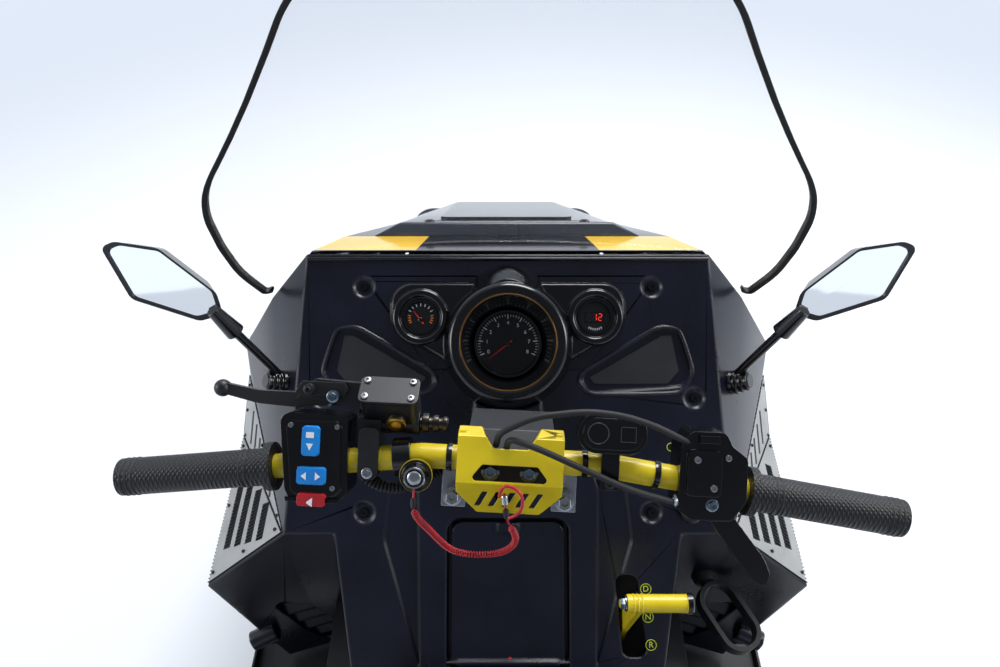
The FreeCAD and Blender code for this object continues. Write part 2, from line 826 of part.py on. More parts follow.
def dash_disc(radius, low, high, across=0, along=0):
    return Part.makeCylinder(radius, high - low, on_dash(across, along, low), dash_out)


# recessed triangular fields beside the gauges
RECESS = [(248, 26), (268, -38), (250, -64), (108, -75), (95, -46), (214, 30)]
RECESS_ROUND = [16, 26, 20, 16, 14, 14]
recess_middle = (181, -20)
recess_floor = dash_pad(RECESS, RECESS_ROUND, -8, -size.cowl_wall / 2)
recess_pocket = dash_pad(
    [(across + (recess_middle[0] - across) * 0.06, along + (recess_middle[1] - along) * 0.12)
     for across, along in RECESS], RECESS_ROUND, -5, 5)
for floor, pocket in zip(both_sides(recess_floor), both_sides(recess_pocket)):
    cowl = cowl.fuse(floor).cut(pocket)

# six round dishes take the fixing screws
SCREW_AT = [(204, 82), (262, -75), (200, -234)]
dish_radius, dish_floor, dish_deep = 16, 10, 5
for across, along in SCREW_AT:
    boss = dash_disc(dish_radius + 4, -10, -2, across, along)
    dish = Part.makeCone(dish_floor, dish_radius + 1.2, dish_deep + 1, on_dash(across, along, -dish_deep), dash_out)
    for lump, hollow in zip(both_sides(boss), both_sides(dish)):
        cowl = cowl.fuse(lump).cut(hollow)

# a lowered field on each side of a raised spine, which carries the console lid
FIELD = [(162, -189), (172, -271), (122, -440), (60, -440), (60, -189)]
FIELD_FLOOR = [(168, -183), (178, -271), (128, -445), (54, -445), (54, -183)]
field_deep, field_back = 3.4, 7.4
field_floor = dash_pad(FIELD_FLOOR, [18, 30, 4, 4, 4], -field_back, -size.cowl_wall / 2)
field_pocket = dash_pad(FIELD, [18, 30, 4, 4, 4], -field_deep, 6)
for floor, pocket in zip(both_sides(field_floor), both_sides(field_pocket)):
    cowl = cowl.fuse(floor).cut(pocket)
SPINE = [(44, -60), (49, -113), (70, -146), (116, -172), (125, -196), (121, -458)]
SPINE_ROUND = [0, 30, 30, 30, 30, 0]
pod_foot = 92
spine_high = 8
spine_wall = size.cowl_wall
spine = dash_pad(both_ways(SPINE), SPINE_ROUND + SPINE_ROUND[::-1], -field_back + 1, spine_high)
HOLLOW = [(45, -170), (110, -184), (119, -200), (116, -447)]
hollow = dash_pad(both_ways(HOLLOW), [8, 24, 20, 0, 0, 20, 24, 8], -30, spine_high - spine_wall)
beyond_end = Part.makeBox(600, 60, 400, V(-300, console_end - 60, 500))
end_wall = beyond_end.copy()
end_wall.translate(V(0, spine_wall, 0))
spine = spine.cut(beyond_end).cut(dash_disc(pod_foot + size.seat_gap, 0, 30))
cowl = cowl.fuse(spine).cut(hollow.cut(end_wall))

# console lid opening, its two hinge ears under the rim, and the gear slot
lid_half, lid_high, lid_low = 78, -246, -436
lid_round = 16
LID_ROOM = [(lid_half + 6, lid_high + 6), (lid_half + 6, lid_low - 7)]
lid_room = dash_pad(both_ways(LID_ROOM), [lid_round + 4, 0, 0, lid_round + 4], -30, 20)
cowl = cowl.cut(lid_room)
lid_top = 3
lid_pin = 2.5
ear = dash_box((lid_half + 7, lid_low - 6, lid_top - 7), (lid_half + 15, lid_low + 6, spine_high - 2))
ear_bore = Part.makeCylinder(
    lid_pin + size.seat_gap, 30, on_dash(lid_half, lid_low, lid_top), X_AXIS)
for lug, hole in zip(both_sides(ear), both_sides(ear_bore)):
    cowl = cowl.fuse(lug).cut(hole)
gear_slot = dash_pad([(148, -319), (178, -319), (192, -430), (158, -430)], [12, 12, 12, 12], -30, 20)
cowl = cowl.cut(gear_slot).cut(column_room)

# the rear wall goes down to the footboards, with a louvred recess on each side
apron_low = size.tunnel_foot + 14
wall_inward = V(36, 121, 0).normalize()
apron_wall = 3.4
APRON = [(307, apron_low), (307, 411), (336, 411), (388, 442), (395, 430), (380, apron_low)]
apron = prism([on_rear_wall(x, z) for x, z in APRON], wall_inward * apron_wall)
apron_inner = half_tunnel + size.board_sheet + size.seat_gap
apron = apron.fuse(Part.makeBox(
    W.x - apron_inner, apron_wall, 411 - apron_low, V(apron_inner, wall_y, apron_low)))
LOUVRE = [(372, 566), (318, 512), (286, 440), (283, 372), (316, 372), (338, 424)]
louvre_deep, louvre_wall = 16, 3
louvre_room = rounded([on_rear_wall(x, z) - wall_inward * 12 for x, z in LOUVRE], 12)
grown = toward([on_rear_wall(x, z) for x, z in LOUVRE], -0.09)
louvre_box = rounded(grown, 12).extrude(wall_inward * (louvre_deep + louvre_wall))
louvre_cut = louvre_room.extrude(wall_inward * (12 + louvre_deep))
slats = []
for z in (395, 430, 465, 500):
    foot = on_rear_wall(270, z) + wall_inward * louvre_deep
    blade = [foot, foot + V(0, 0, 7), foot - wall_inward * (louvre_deep - 3) + V(0, 0, -9),
             foot - wall_inward * (louvre_deep - 3) + V(0, 0, -14)]
    slats.append(prism(blade, (on_rear_wall(385, z) - on_rear_wall(270, z))))
slat_space = louvre_room.extrude(wall_inward * (12 + louvre_deep + 1))
louvres = louvre_box.fuse(apron).cut(louvre_cut)
for blade in slats:
    louvres = louvres.fuse(blade.common(slat_space))
stub = Part.makeCylinder(16, 42, V(376, 274, 462), V(0.85, -0.35, -0.2)).cut(cowl_outer)
for louvre_side, opening, peg in zip(both_sides(louvres), both_sides(louvre_cut), both_sides(stub)):
    cowl = cowl.cut(opening).fuse(louvre_side).fuse(peg)
cowl = cowl.removeSplitter()

keep("dash_console", solid("cowl_moulding", cowl))

# Console lid on its rear hinge, over a moulded bin that hangs under the opening

lid_plate = dash_pad(
    both_ways([(lid_half, lid_high), (lid_half, lid_low)]), [lid_round, 0, 0, lid_round], -10.7, lid_top)
LATCH = [(15, lid_high - 1), (15, lid_high - 14)]
lid_plate = lid_plate.fuse(dash_pad(both_ways(LATCH), 4, lid_top - 2, lid_top + 4))
lid_barrel = Part.makeCylinder(5, 2 * 70, on_dash(-70, lid_low, lid_top), X_AXIS)
lid_pins = Part.makeCylinder(
    lid_pin, 2 * (lid_half + 14), on_dash(-lid_half - 14, lid_low, lid_top), X_AXIS)
keep("storage_lid", solid("lid_moulding", lid_plate.fuse(lid_barrel).fuse(lid_pins)))

bin_wall, bin_ledge, bin_flange = 4, 12, 8
bin_rim = spine_high - spine_wall - size.seat_gap
lid_seat = -11
ledge_low = lid_seat - bin_wall
bin_low, bin_rear, bin_front, bin_front_low = -80, -447, -236, -250
bin_half = lid_half + 10


def bin_form(inset, low):
    """The bin below its ledge: the front wall slopes to pass the steering column."""
    side = [(bin_rear + inset, ledge_low), (bin_rear + inset, low), (bin_front_low - inset, low),
            (bin_front - inset, ledge_low)]
    return prism([on_dash(inset - bin_half, along, out) for along, out in side],
                 V(2 * (bin_half - inset), 0, 0))


def bin_ring(inset, low, high):
    """A straight-sided layer of the bin."""
    return dash_box((inset - bin_half, bin_rear + inset, low), (bin_half - inset, bin_front - inset, high))


storage = bin_form(0, bin_low).fuse(bin_ring(0, ledge_low, bin_rim))
storage = storage.fuse(dash_box(
    (-bin_half - bin_flange, bin_rear + bin_flange, bin_rim - bin_wall),
    (bin_half + bin_flange, bin_front + bin_flange, bin_rim)))
storage = storage.cut(bin_form(bin_wall, bin_low + bin_wall))
storage = storage.cut(bin_ring(bin_ledge, ledge_low - 1, bin_rim + 1))
storage = storage.cut(bin_ring(bin_wall, lid_seat, bin_rim + 1))
# notches on both sides let the hinge ears and pins through
hinge_notch = dash_box((-bin_half - bin_flange - 1, bin_rear + bin_wall, lid_top - 8),
                       (bin_half + bin_flange + 1, lid_low + 7.5, bin_rim + 1))
storage = storage.cut(hinge_notch).removeSplitter()
keep("storage_bin", solid("bin_tray", storage))

# Side grilles: slotted sheet metal on the cheeks of the cowl

grille_sheet = 2


def on_face(corners, slots, wall):
    """Sheet metal laid on a flat triangle, with slots cut through it.

    A slot is given by its two ends, as shares along two edges of the triangle.
    """
    normal = (corners[1] - corners[0]).cross(corners[2] - corners[0]).normalize()
    middle = (corners[0] + corners[1] + corners[2]) / 3
    edge = 0.06
    plate = prism([point + (middle - point) * edge for point in corners], normal * wall)
    for start, end, width in slots:
        run = end - start
        beside = run.cross(normal).normalize() * (width / 2)
        cutter = prism(
            [start - beside - normal, start + beside - normal, end + beside - normal, end - beside - normal],
            normal * (wall + 2))
        plate = plate.cut(cutter)
    return plate


def slots_across(first, second, third, shares, width):
    """Slots from the edge first-second to the edge first-third of a triangle."""
    return [
        (first + (second - first) * share + (third - second) * (share * 0.2),
         first + (third - first) * share + (second - third) * (share * 0.14), width)
        for share in shares
    ]


upper_shares = [0.30 + 0.1 * step for step in range(6)]
lower_shares = [0.34, 0.50, 0.66, 0.82]
upper_grille = on_face([P2, Q, K], slots_across(P2, K, Q, upper_shares, 9), grille_sheet)
lower_grille = on_face([P2, P3, Q], slots_across(P2, P3, Q, lower_shares, 15), grille_sheet)
grille_right = upper_grille.fuse(lower_grille)
keep("side_grilles", group("grille_pair", [
    solid("grille_right", grille_right), solid("grille_left", mirrored(grille_right))]))

# Instrument pod: a hooded round pod on a winged base, with three dials

WING = both_ways([(166, 88), (166, 22), (80, -28)])
WING_ROUND = [42, 38, 10, 10, 38, 42]
wing_high, wing_edge = 11, 5
dial_seat = 12
small_dial_at = (122, 38)
# radius and height of the turned tube, from its foot over the lip to the dial
TUBE = [(0, 0), (pod_foot, 0), (79, 68), (63, 68), (57, 46), (46, dial_seat), (0, dial_seat)]
TUBE_ROUND = [0, 0, 8, 8, 12, 0, 0]
# the same for the raised ring around each small dial
BEZEL = [(24, 3), (41, 3), (39, wing_high + 4), (30, wing_high + 4)]
BEZEL_ROUND = [0, 0, 5, 5]


def turned_on_dash(outline, radii, across=0, along=0):
    """A form turned about an axis that stands square to the dash."""
    face = rounded([on_dash(across + reach, along, out) for reach, out in outline], radii)
    return face.revolve(on_dash(across, along), dash_out, 360)


wing_ring = rounded([on_dash(across, along, wing_high - wing_edge) for across, along in WING], WING_ROUND)
wing_crest = rounded(
    [on_dash(across * 0.97, 30 + (along - 30) * 0.92, wing_high) for across, along in WING], WING_ROUND)
wing = Part.makeLoft([wing_ring.OuterWire, wing_crest.OuterWire], True)
wing = wing.fuse(dash_pad(WING, WING_ROUND, 0, wing_high - wing_edge))
brow_foot, brow_top, brow_at, brow_high = 62, 34, 52, 54
brow = Part.makeCone(brow_foot, brow_top, brow_high, on_dash(0, brow_at, 0), dash_out)
pod = wing.fuse(brow)
for side in (LEFT, RIGHT):
    place = (side * small_dial_at[0], small_dial_at[1])
    pod = pod.fuse(turned_on_dash(BEZEL, BEZEL_ROUND, *place)).cut(dash_disc(24.5, 3, wing_high + 20, *place))
pod = pod.cut(dash_disc(70, dial_seat, 90)).fuse(turned_on_dash(TUBE, TUBE_ROUND))
keep("instrument_pod", solid("pod_moulding", pod))
dials = [solid("dial_main", dash_disc(44, dial_seat, dial_seat + 8))]
for side in (LEFT, RIGHT):
    dials.append(solid(f"dial_{side + 1}", dash_disc(24, 3, 9, side * small_dial_at[0], small_dial_at[1])))
keep("gauge_dials", group("dials", dials))

# Windshield: a clear sheet bent about a leaning axis, edged in rubber

screen_lean = 0.36
screen_bend_radius = 1040
screen_foot_y, screen_foot_z = 668, 905

# half of the outline seen from behind: x, z, from the middle of the foot up
SCREEN_SIDE = [(120, 975.5), (230, 988), (288, 994), (358, 905), (376, 985), (377, 1053), (372, 1119), (361, 1157),
               (347, 1184), (328, 1211), (304, 1246), (274, 1292), (238, 1351), (207, 1404)]
screen_top = 1440


def screen_prism(grow):
    """The windshield's outline seen from behind, swept through its depth."""
    right = [V(x, 0, z) for x, z in SCREEN_SIDE]
    outline = [V(0, 0, 971.6)] + right + [V(170, 0, screen_top)]
    radii = [240, 240, 240, 0, 10] + [240] * 10 + [60]
    outline += [left(point) for point in reversed(outline[1:])]
    edge = rounded(outline, radii + radii[:0:-1]).OuterWire
    face = Part.Face(edge.makeOffset2D(grow) if grow else edge)
    return face.extrude(V(0, 900, 0))


def screen_sheet(thick, offset):
    """Part of a leaning cylinder wall, thick measured about the sheet's middle."""
    lean = V(0, -screen_lean, 1).normalize()
    centre = V(0, screen_foot_y, screen_foot_z) - V(0, lean.z, -lean.y) * screen_bend_radius
    foot = centre - lean * 300
    outside = Part.makeCylinder(screen_bend_radius + offset + thick / 2, 1300, foot, lean)
    inside = Part.makeCylinder(screen_bend_radius + offset - thick / 2, 1300, foot, lean)
    return outside.cut(inside)


pane_edge = 6
screen_band = screen_sheet(size.screen_sheet, 0)
rubber_band = screen_sheet(size.trim_thick, 0)
pane = screen_band.common(screen_prism(-pane_edge))
rubber = rubber_band.common(screen_prism(0)).cut(screen_prism(-pane_edge))
keep("windshield", solid("screen_pane", pane))
keep("windshield_trim", solid("screen_rubber", rubber))

# Mirrors on stems from the shoulders of the cowl

def mirror_parts():
    """Right mirror: head, stem and foot."""
    base = V(318, 478, 850)
    neck = V(376, 479, 978)
    foot_axis = (neck - base).normalize()
    out_of_cowl = V(0.75, -0.35, 0.55).normalize()
    foot = Part.makeCone(19, 11, 34, base, out_of_cowl)
    for rib in range(3):
        foot = foot.fuse(Part.makeCylinder(17.5 - 2 * rib, 4, base + out_of_cowl * (12 + 8 * rib), out_of_cowl))
    stem = Part.makeCylinder(6, (neck - base).Length, base, foot_axis)
    socket = Part.makeCone(13, 9, 46, neck - foot_axis * 24, foot_axis)
    inner = [V(374, 481, 987), V(378, 495, 1015), V(439, 512, 1078), V(488, 500, 1094),
             V(size.mirror_tip, 497, 1088), V(483, 470, 1021), V(405, 474, 981)]
    facing = V(-0.12, -0.93, 0.34).normalize()
    centre = V(438, 492, 1040)
    front = [point - facing * (point - centre).dot(facing) for point in inner]
    back = [point - facing * 26 for point in toward(front, 0.22)]
    head = Part.makeLoft([rounded(front, 16).OuterWire, rounded(back, 16).OuterWire], True)
    glass_room = rounded([point + facing for point in toward(front, 0.10)], 14).extrude(facing * -4)
    return foot, stem, socket, head.cut(glass_room)


mirror_foot, mirror_stem, mirror_socket, mirror_head = mirror_parts()
mirror_whole = mirror_head.fuse([mirror_stem, mirror_socket, mirror_foot])
mirror_whole = mirror_whole.cut(cowl_outer)
keep("mirror_right", solid("right_mirror", mirror_whole))
keep("mirror_left", solid("left_mirror", mirrored(mirror_whole)))

# Gear lever: a flat arm out of its slot, with a cross handle

knob_from, knob_to = V(144, 175, 795), V(222, 175, 795)
lever_foot = size.tunnel_top + size.seat_gap
lever_arm = prism([V(158, 205, lever_foot), V(158, 235, lever_foot), V(158, 228, 640), V(158, 186, 792),
                   V(158, 168, 792), V(158, 200, 640)], V(8, 0, 0))
lever_arm = lever_arm.fuse(Part.makeBox(28, 60, 6, V(148, 190, lever_foot)))
handle = Part.makeCylinder(11, (knob_to - knob_from).Length, knob_from, X_AXIS)
handle = handle.fuse(Part.makeCylinder(12, 6, knob_to - X_AXIS * 5, X_AXIS))
handle = handle.fuse(Part.makeCylinder(5, 9, knob_from - X_AXIS * 9, X_AXIS))
keep("gear_lever", solid("lever", lever_arm.fuse(handle)))

# Starter pull handle in its socket on the right of the rear wall

starter_at = V(298, wall_y, 612)
loop_long, loop_wide, loop_band, loop_tall = 106, 62, 7, 22
loop_ahead = V(0.47, -0.87, -0.14).normalize()
loop_across = loop_ahead.cross(Z_AXIS).normalize()
loop_up = loop_across.cross(loop_ahead)
socket = Part.makeCone(20, 16, 12, starter_at, -Y_AXIS)
collar = Part.makeCylinder(8, 18, starter_at, -Y_AXIS)
loop_start = starter_at - Y_AXIS * 14 - loop_up * (loop_tall / 2)


def loop_face(inset):
    """The handle's oval seen from above, or the opening inside it."""
    half = loop_wide / 2 - inset
    ends = [loop_start + loop_ahead * inset, loop_start + loop_ahead * (loop_long - inset)]
    corners = [ends[0] + loop_across * half, ends[1] + loop_across * half,
               ends[1] - loop_across * half, ends[0] - loop_across * half]
    return rounded(corners, half * 0.95)


starter_loop = loop_face(0).extrude(loop_up * loop_tall)
starter_loop = starter_loop.cut(loop_face(loop_band).extrude(loop_up * (loop_tall + 2)))
keep("starter_handle", solid("starter", socket.fuse(collar).fuse(starter_loop).cut(cowl_outer)))

# Track: one fixed rubber loop, its lugs in its outline

# y, z and belt inside radius of the wheels, in the order the belt meets them
WHEELS = [
    (220, 330, size.drive_radius),
    (-1170, 130, size.idler_radius),
    (-60, 105, size.nose_radius),
]
drive_at, idler_at, nose_at = [V(0, y, z) for y, z, _ in WHEELS]
band_edge = 84


def belt_path(offset):
    """Arcs and straight runs around the wheels, seen from the right."""
    runs = []
    for (y0, z0, r0), (y1, z1, r1) in zip(WHEELS, WHEELS[1:] + WHEELS[:1]):
        along = math.atan2(z1 - z0, y1 - y0)
        length = math.hypot(y1 - y0, z1 - z0)
        tilt = math.acos((r0 - r1) / length)
        runs.append(along - tilt)
    return [(y, z, radius + offset, runs[index - 1], runs[index])
            for index, (y, z, radius) in enumerate(WHEELS)]


def belt_points(path):
    """Start, middle and end of each wheel's arc."""
    arcs = []
    for y, z, reach, entering, leaving in path:
        turn = (leaving - entering) % (2 * math.pi)
        turn = turn if turn < math.pi * 1.5 else turn - 2 * math.pi
        angles = [entering, entering + turn / 2, leaving]
        arcs.append([V(0, y + reach * math.cos(a), z + reach * math.sin(a)) for a in angles])
    return arcs


def belt_wire(offset):
    arcs = belt_points(belt_path(offset))
    edges = []
    for index, (start, middle, end) in enumerate(arcs):
        edges.append(Part.Arc(start, middle, end).toShape())
        edges.append(Part.LineSegment(end, arcs[(index + 1) % len(arcs)][0]).toShape())
    return Part.Wire(edges)


def along_wire(wire, distance):
    """A point on the wire and the direction there, at a distance from its start."""
    distance = distance % wire.Length
    for edge in wire.Edges:
        if distance <= edge.Length:
            at = edge.getParameterByLength(distance)
            return edge.valueAt(at), edge.tangentAt(at)
        distance -= edge.Length
    return edge.valueAt(edge.LastParameter), edge.tangentAt(edge.LastParameter)


belt_middle = V(0, (drive_at.y + idler_at.y) / 2, (drive_at.z + idler_at.z) / 2)
outer_wire = belt_wire(size.belt)
lug_pitch = outer_wire.Length / size.lug_count
lug_foot, lug_crest = 28, 13


def band_outline(shift):
    """The outside of one band: belt between its lugs, then each lug."""
    corners = []
    for number in range(int(size.lug_count)):
        centre, heading = along_wire(outer_wire, (number + shift) * lug_pitch)
        out = heading.cross(X_AXIS)
        if out.dot(centre - belt_middle) < 0:
            out = -out
        for step, rise in ((-lug_foot, 0), (-lug_crest, 1), (lug_crest, 1), (lug_foot, 0)):
            if rise:
                corners.append(centre + heading * (step / 2) + out * size.lug)
            else:
                point, _ = along_wire(outer_wire, (number + shift) * lug_pitch + step / 2)
                corners.append(point)
    return corners


half_track = size.track_width / 2
inner_face = Part.Face(belt_wire(0))
bands = []
for start, end, shift in ((-half_track, -band_edge, 0), (-band_edge, band_edge, 0.5),
                          (band_edge, half_track, 0)):
    corners = band_outline(shift)
    outside = Part.Face(Part.makePolygon([*corners, corners[0]]))
    band = outside.extrude(V(end - start, 0, 0))
    hollow = inner_face.extrude(V(end - start, 0, 0))
    band = band.cut(hollow)
    band.translate(V(start, 0, 0))
    bands.append(band)
keep("track", solid("track_loop", bands[0].fuse(bands[1]).fuse(bands[2])))

# Slide rails inside the track, with the wheels that run in it

rail_bottom = 40.3
bogie_radius = 64
bogie_ys = (-350, -650, -930)
bogie_z = rail_bottom + bogie_radius
RAIL_SIDE = [(-1162, 130), (-1150, 66), (-1096, 44), (-1060, rail_bottom), (-60, rail_bottom),
             (-18, 56), (0, 88), (-8, 122), (-60, 128), (-300, 124), (-1100, 150)]
slide_rails = []
for side in (LEFT, RIGHT):
    plate_left = side * size.slide_spread - size.slide_thick / 2
    slide_rails.append(profile(
        f"slide_rail_{side + 1}", "YZ", RAIL_SIDE, size.slide_thick, (plate_left, 0, 0)))
axle_bores = [
    rod(f"axle_bore_{i}", (-200, y, z), (200, y, z), radius)
    for i, (y, z, radius) in enumerate(
        [(y, bogie_z, 8.3) for y in bogie_ys] + [(nose_at.y, nose_at.z, 8.3)]
        + [(idler_at.y, idler_at.z, size.idler_axle / 2 + size.seat_gap)])
]
bored_rails = [
    cut(f"rail_bored_{i}", rail, fuse(f"bores_{i}", axle_bores)) for i, rail in enumerate(slide_rails)]
keep("slide_rails", group("rails_pair", bored_rails))


def wheel(name, x, y, z, radius, wide):
    """A wheel with a rim, a thin web and a hub, turned about its axle."""
    half = wide / 2
    hub, web, inside = 0.32 * radius, 0.12 * wide, 0.78 * radius
    section = [(0, -half), (hub, -half), (hub, -web), (inside, -web), (inside, -half), (radius, -half)]
    section += [(reach, -across) for reach, across in reversed(section)]
    face = flat([V(x + across, y + reach, z) for reach, across in section])
    return solid(name, face.revolve(V(x, y, z), X_AXIS, 360))


def sprocket(name, x, y, z, radius, wide, teeth):
    """A toothed driver: the crests reach the belt."""
    root = 0.84 * radius
    corners = []
    for tooth in range(teeth):
        for share, reach in ((-0.32, root), (-0.16, radius), (0.16, radius), (0.32, root)):
            turn = 2 * math.pi * (tooth + share) / teeth
            corners.append(V(x - wide / 2, y + reach * math.cos(turn), z + reach * math.sin(turn)))
    return solid(name, prism(corners, V(wide, 0, 0)))


wheels = []
for index, y in enumerate(bogie_ys):
    axle_parts = [rod(f"bogie_axle_{index}", (-180, y, bogie_z), (180, y, bogie_z), 8)]
    axle_parts += [wheel(f"bogie_{index}_{side + 1}", side * 165, y, bogie_z, bogie_radius, 20)
                   for side in (LEFT, RIGHT)]
    wheels.append(fuse(f"bogie_pair_{index}", axle_parts))
nose_parts = [rod("nose_axle", (-180, nose_at.y, nose_at.z), (180, nose_at.y, nose_at.z), 8)]
nose_parts += [wheel(f"nose_wheel_{side + 1}", side * 165, nose_at.y, nose_at.z,
                     size.nose_radius - size.seat_gap, 20) for side in (LEFT, RIGHT)]
wheels.append(fuse("nose_wheels", nose_parts))
idler_parts = [rod("idler_axle", (-190, idler_at.y, idler_at.z), (190, idler_at.y, idler_at.z),
                   size.idler_axle / 2)]
idler_parts += [wheel(f"idler_{index}", x, idler_at.y, idler_at.z,
                      size.idler_radius - size.seat_gap, 24) for index, x in enumerate((-165, -60, 60, 165))]
wheels.append(fuse("idler_wheels", idler_parts))
keep("track_wheels", group("wheels_in_track", wheels))

drive_parts = [rod("drive_shaft", (-inner_half, drive_at.y, drive_at.z),
                   (inner_half, drive_at.y, drive_at.z), size.axle / 2)]
drive_parts += [sprocket(f"sprocket_{side + 1}", side * 120, drive_at.y, drive_at.z,
                         size.drive_radius - size.seat_gap, 34, 9) for side in (LEFT, RIGHT)]
keep("drive_axle", fuse("drive_whole", drive_parts))

# Suspension arms and shocks between the tunnel and the slide rails

arm_inner = size.slide_spread - size.slide_thick / 2
spring_turns, spring_wire = 6, 9
# upper pivot y and z, lower pivot y and z
ARMS = [(-120, 300, -300, 100), (-700, 258, -1010, 112)]
arms = []
for index, (top_y, top_z, low_y, low_z) in enumerate(ARMS):
    cross = rod(f"arm_shaft_{index}", (-inner_half, top_y, top_z), (inner_half, top_y, top_z), 13)
    foot = rod(f"arm_foot_{index}", (-arm_inner, low_y, low_z), (arm_inner, low_y, low_z), 11)
    links = [rod(f"arm_link_{index}_{side + 1}", (side * 95, top_y, top_z), (side * 95, low_y, low_z), 11)
             for side in (LEFT, RIGHT)]
    upper, lower = V(0, top_y, top_z), V(0, low_y, low_z)
    shock = rod(f"shock_{index}", upper, lower, 14)
    spring = []
    for turn in range(spring_turns):
        share = 0.24 + 0.52 * turn / (spring_turns - 1)
        at = upper + (lower - upper) * share
        spring.append(rod(f"spring_{index}_{turn}", at, at + (lower - upper).normalize() * spring_wire, 26))
    arms.append(fuse(f"arm_{index}", [cross, foot, *links, shock, *spring]))
keep("suspension_arms", group("arms_pair", arms))

# Seat, backrest, rack, rear bumper, hitch, flap and lamp

seat_foot_z, seat_pan_z = size.tunnel_top, 600
seat_front, seat_rear = 125, -930
seat_half = size.seat_width / 2
keep("seat_base", profile(
    "seat_box", "XZ",
    [(-150, seat_foot_z), (150, seat_foot_z), (seat_half - 8, seat_pan_z), (-seat_half + 8, seat_pan_z)],
    seat_front - seat_rear, (0, seat_front, 0)))
cushion = profile(
    "cushion_block", "YZ",
    [(seat_front, seat_pan_z + size.seat_gap), (seat_front - 15, 640), (30, 710), (-40, 732),
     (-400, 732), (-450, 772), (seat_rear, 772), (seat_rear, seat_pan_z + size.seat_gap)],
    size.seat_width, (-seat_half, 0, 0))
keep("seat_cushion", cushion)

rack_z = 600
rack_radius = size.rack_tube / 2
rack_half, rack_front, rack_rear = 220, -960, -1330
post_radius, post_back, post_rise = 10, 40, 490
rack_loop = [(-rack_half, rack_front, rack_z), (rack_half, rack_front, rack_z),
             (rack_half, rack_rear, rack_z), (-rack_half, rack_rear, rack_z)]
rack_parts = []
for index, (start, end) in enumerate(zip(rack_loop, rack_loop[1:] + rack_loop[:1])):
    rack_parts.append(rod(f"rack_side_{index}", start, end, rack_radius))
    rack_parts.append(ball(f"rack_corner_{index}", start, rack_radius))
for index, x in enumerate((-110, 0, 110)):
    rack_parts.append(rod(f"rack_slat_{index}", (x, rack_front, rack_z), (x, rack_rear, rack_z), 8))
for side in (LEFT, RIGHT):
    for y in (rack_front, -1250):
        rack_parts.append(rod(
            f"rack_leg_{side + 1}_{-y}", (side * rack_half, y, size.tunnel_top),
            (side * rack_half, y, rack_z), 10))
    rack_parts.append(rod(
        f"back_post_{side + 1}", (side * 120, rack_front, rack_z),
        (side * 120, rack_front - post_back, rack_z + post_rise), post_radius))
keep("luggage_rack", fuse("rack_whole", rack_parts))
post_lean = math.atan2(post_back, post_rise)
pad_low = 850
pad_y = rack_front - (pad_low - rack_z) * math.tan(post_lean)
pad_y += (post_radius + size.seat_gap) / math.cos(post_lean)
back_pad = Part.makeBox(300, 46, 260, V(-150, pad_y, pad_low))
back_pad.rotate(V(0, pad_y, pad_low), X_AXIS, math.degrees(post_lean))
keep("backrest", solid("back_pad", back_pad))

rear_radius = size.rear_tube / 2
rear_y = -size.overall_length / 2 + rear_radius
rear_half = 250
side_x = inner_half - rear_radius - size.seat_gap
rear_parts = bars("rear_bar", [
    (-side_x, -1260, 480), (-side_x, rear_y, 480), (side_x, rear_y, 480), (side_x, -1260, 480)],
    rear_radius)
rear_parts += bars("rear_drop", [
    (-side_x + 60, rear_y, 480), (-side_x + 60, rear_y, 330), (side_x - 60, rear_y, 330),
    (side_x - 60, rear_y, 480)], rear_radius)
keep("rear_bumper", fuse("rear_whole", rear_parts))

hitch_thick, hitch_hole, hitch_y = 10, 13, rear_y + 48
hitch_top = 330 - rear_radius - size.seat_gap
hitch = Part.makeBox(64, 90, hitch_thick, V(-32, rear_y - 10, hitch_top - hitch_thick))
hitch = hitch.cut(Part.makeCylinder(hitch_hole, 40, V(0, hitch_y, hitch_top - 30), Z_AXIS))
keep("tow_hitch", solid("hitch", hitch))
flap_y = size.tunnel_rear - size.seat_gap
flap_top = size.tunnel_top - 1
flap = prism([V(-235, flap_y, flap_top), V(235, flap_y, flap_top), V(225, flap_y - 35, 110),
              V(-225, flap_y - 35, 110)], V(0, -6, 0))
keep("snow_flap", solid("flap", flap))
lamp_top = rack_z - rack_radius - size.seat_gap
keep("tail_lamp", block("lamp_block", (-90, rack_rear - 16, lamp_top - 50), (90, rack_rear + 12, lamp_top)))

# Steering column with its riser and pitman arm. The whole of the steering is
# drawn straight ahead and then turned to the angle at which it stands.

rest_turn = -float(size.steer_rest)


def turned(thing, centre):
    """Turn a piece about a steering axis to where it stands at rest."""
    thing.Placement = Placement(V(0, 0, 0), Rotation(steer_axis, rest_turn), centre)
    return thing


arm_half = 8
rod_end_low, rod_end_high = -25, -11
stud = 5
rod_end_radius = 12


def arm_plate(pivot, sides, hub_radius):
    """A flat steering arm with a stud for each tie rod under it."""
    low = pivot - steer_axis * arm_half
    made = Part.makeCylinder(hub_radius, 2 * arm_half, low, steer_axis)
    for side in sides:
        eye = arm_offset(side)
        beside = eye.cross(steer_axis).normalize()
        web = prism(
            [low + beside * (hub_radius * 0.8), low + eye + beside * 11,
             low + eye - beside * 11, low - beside * (hub_radius * 0.8)],
            steer_axis * (2 * arm_half))
        boss = Part.makeCylinder(11, 2 * arm_half, low + eye, steer_axis)
        pin = Part.makeCylinder(stud, 26, pivot + eye + steer_axis * (rod_end_low - 2), steer_axis)
        made = made.fuse([web, boss, pin])
    return made


bar_frame = Placement(bar_centre, Rotation(X_AXIS, 43))


def by_bar(across, up, out=0):
    """A point from the bar's centre, as the rider sees it: right, up, towards."""
    return bar_frame.multVec(V(across, up, out))


def bar_box(low, high):
    outline = [(low[0], low[1]), (high[0], low[1]), (high[0], high[1]), (low[0], high[1])]
    return prism([by_bar(across, up, low[2]) for across, up in outline],
                 by_bar(0, 0, high[2]) - by_bar(0, 0, low[2]))


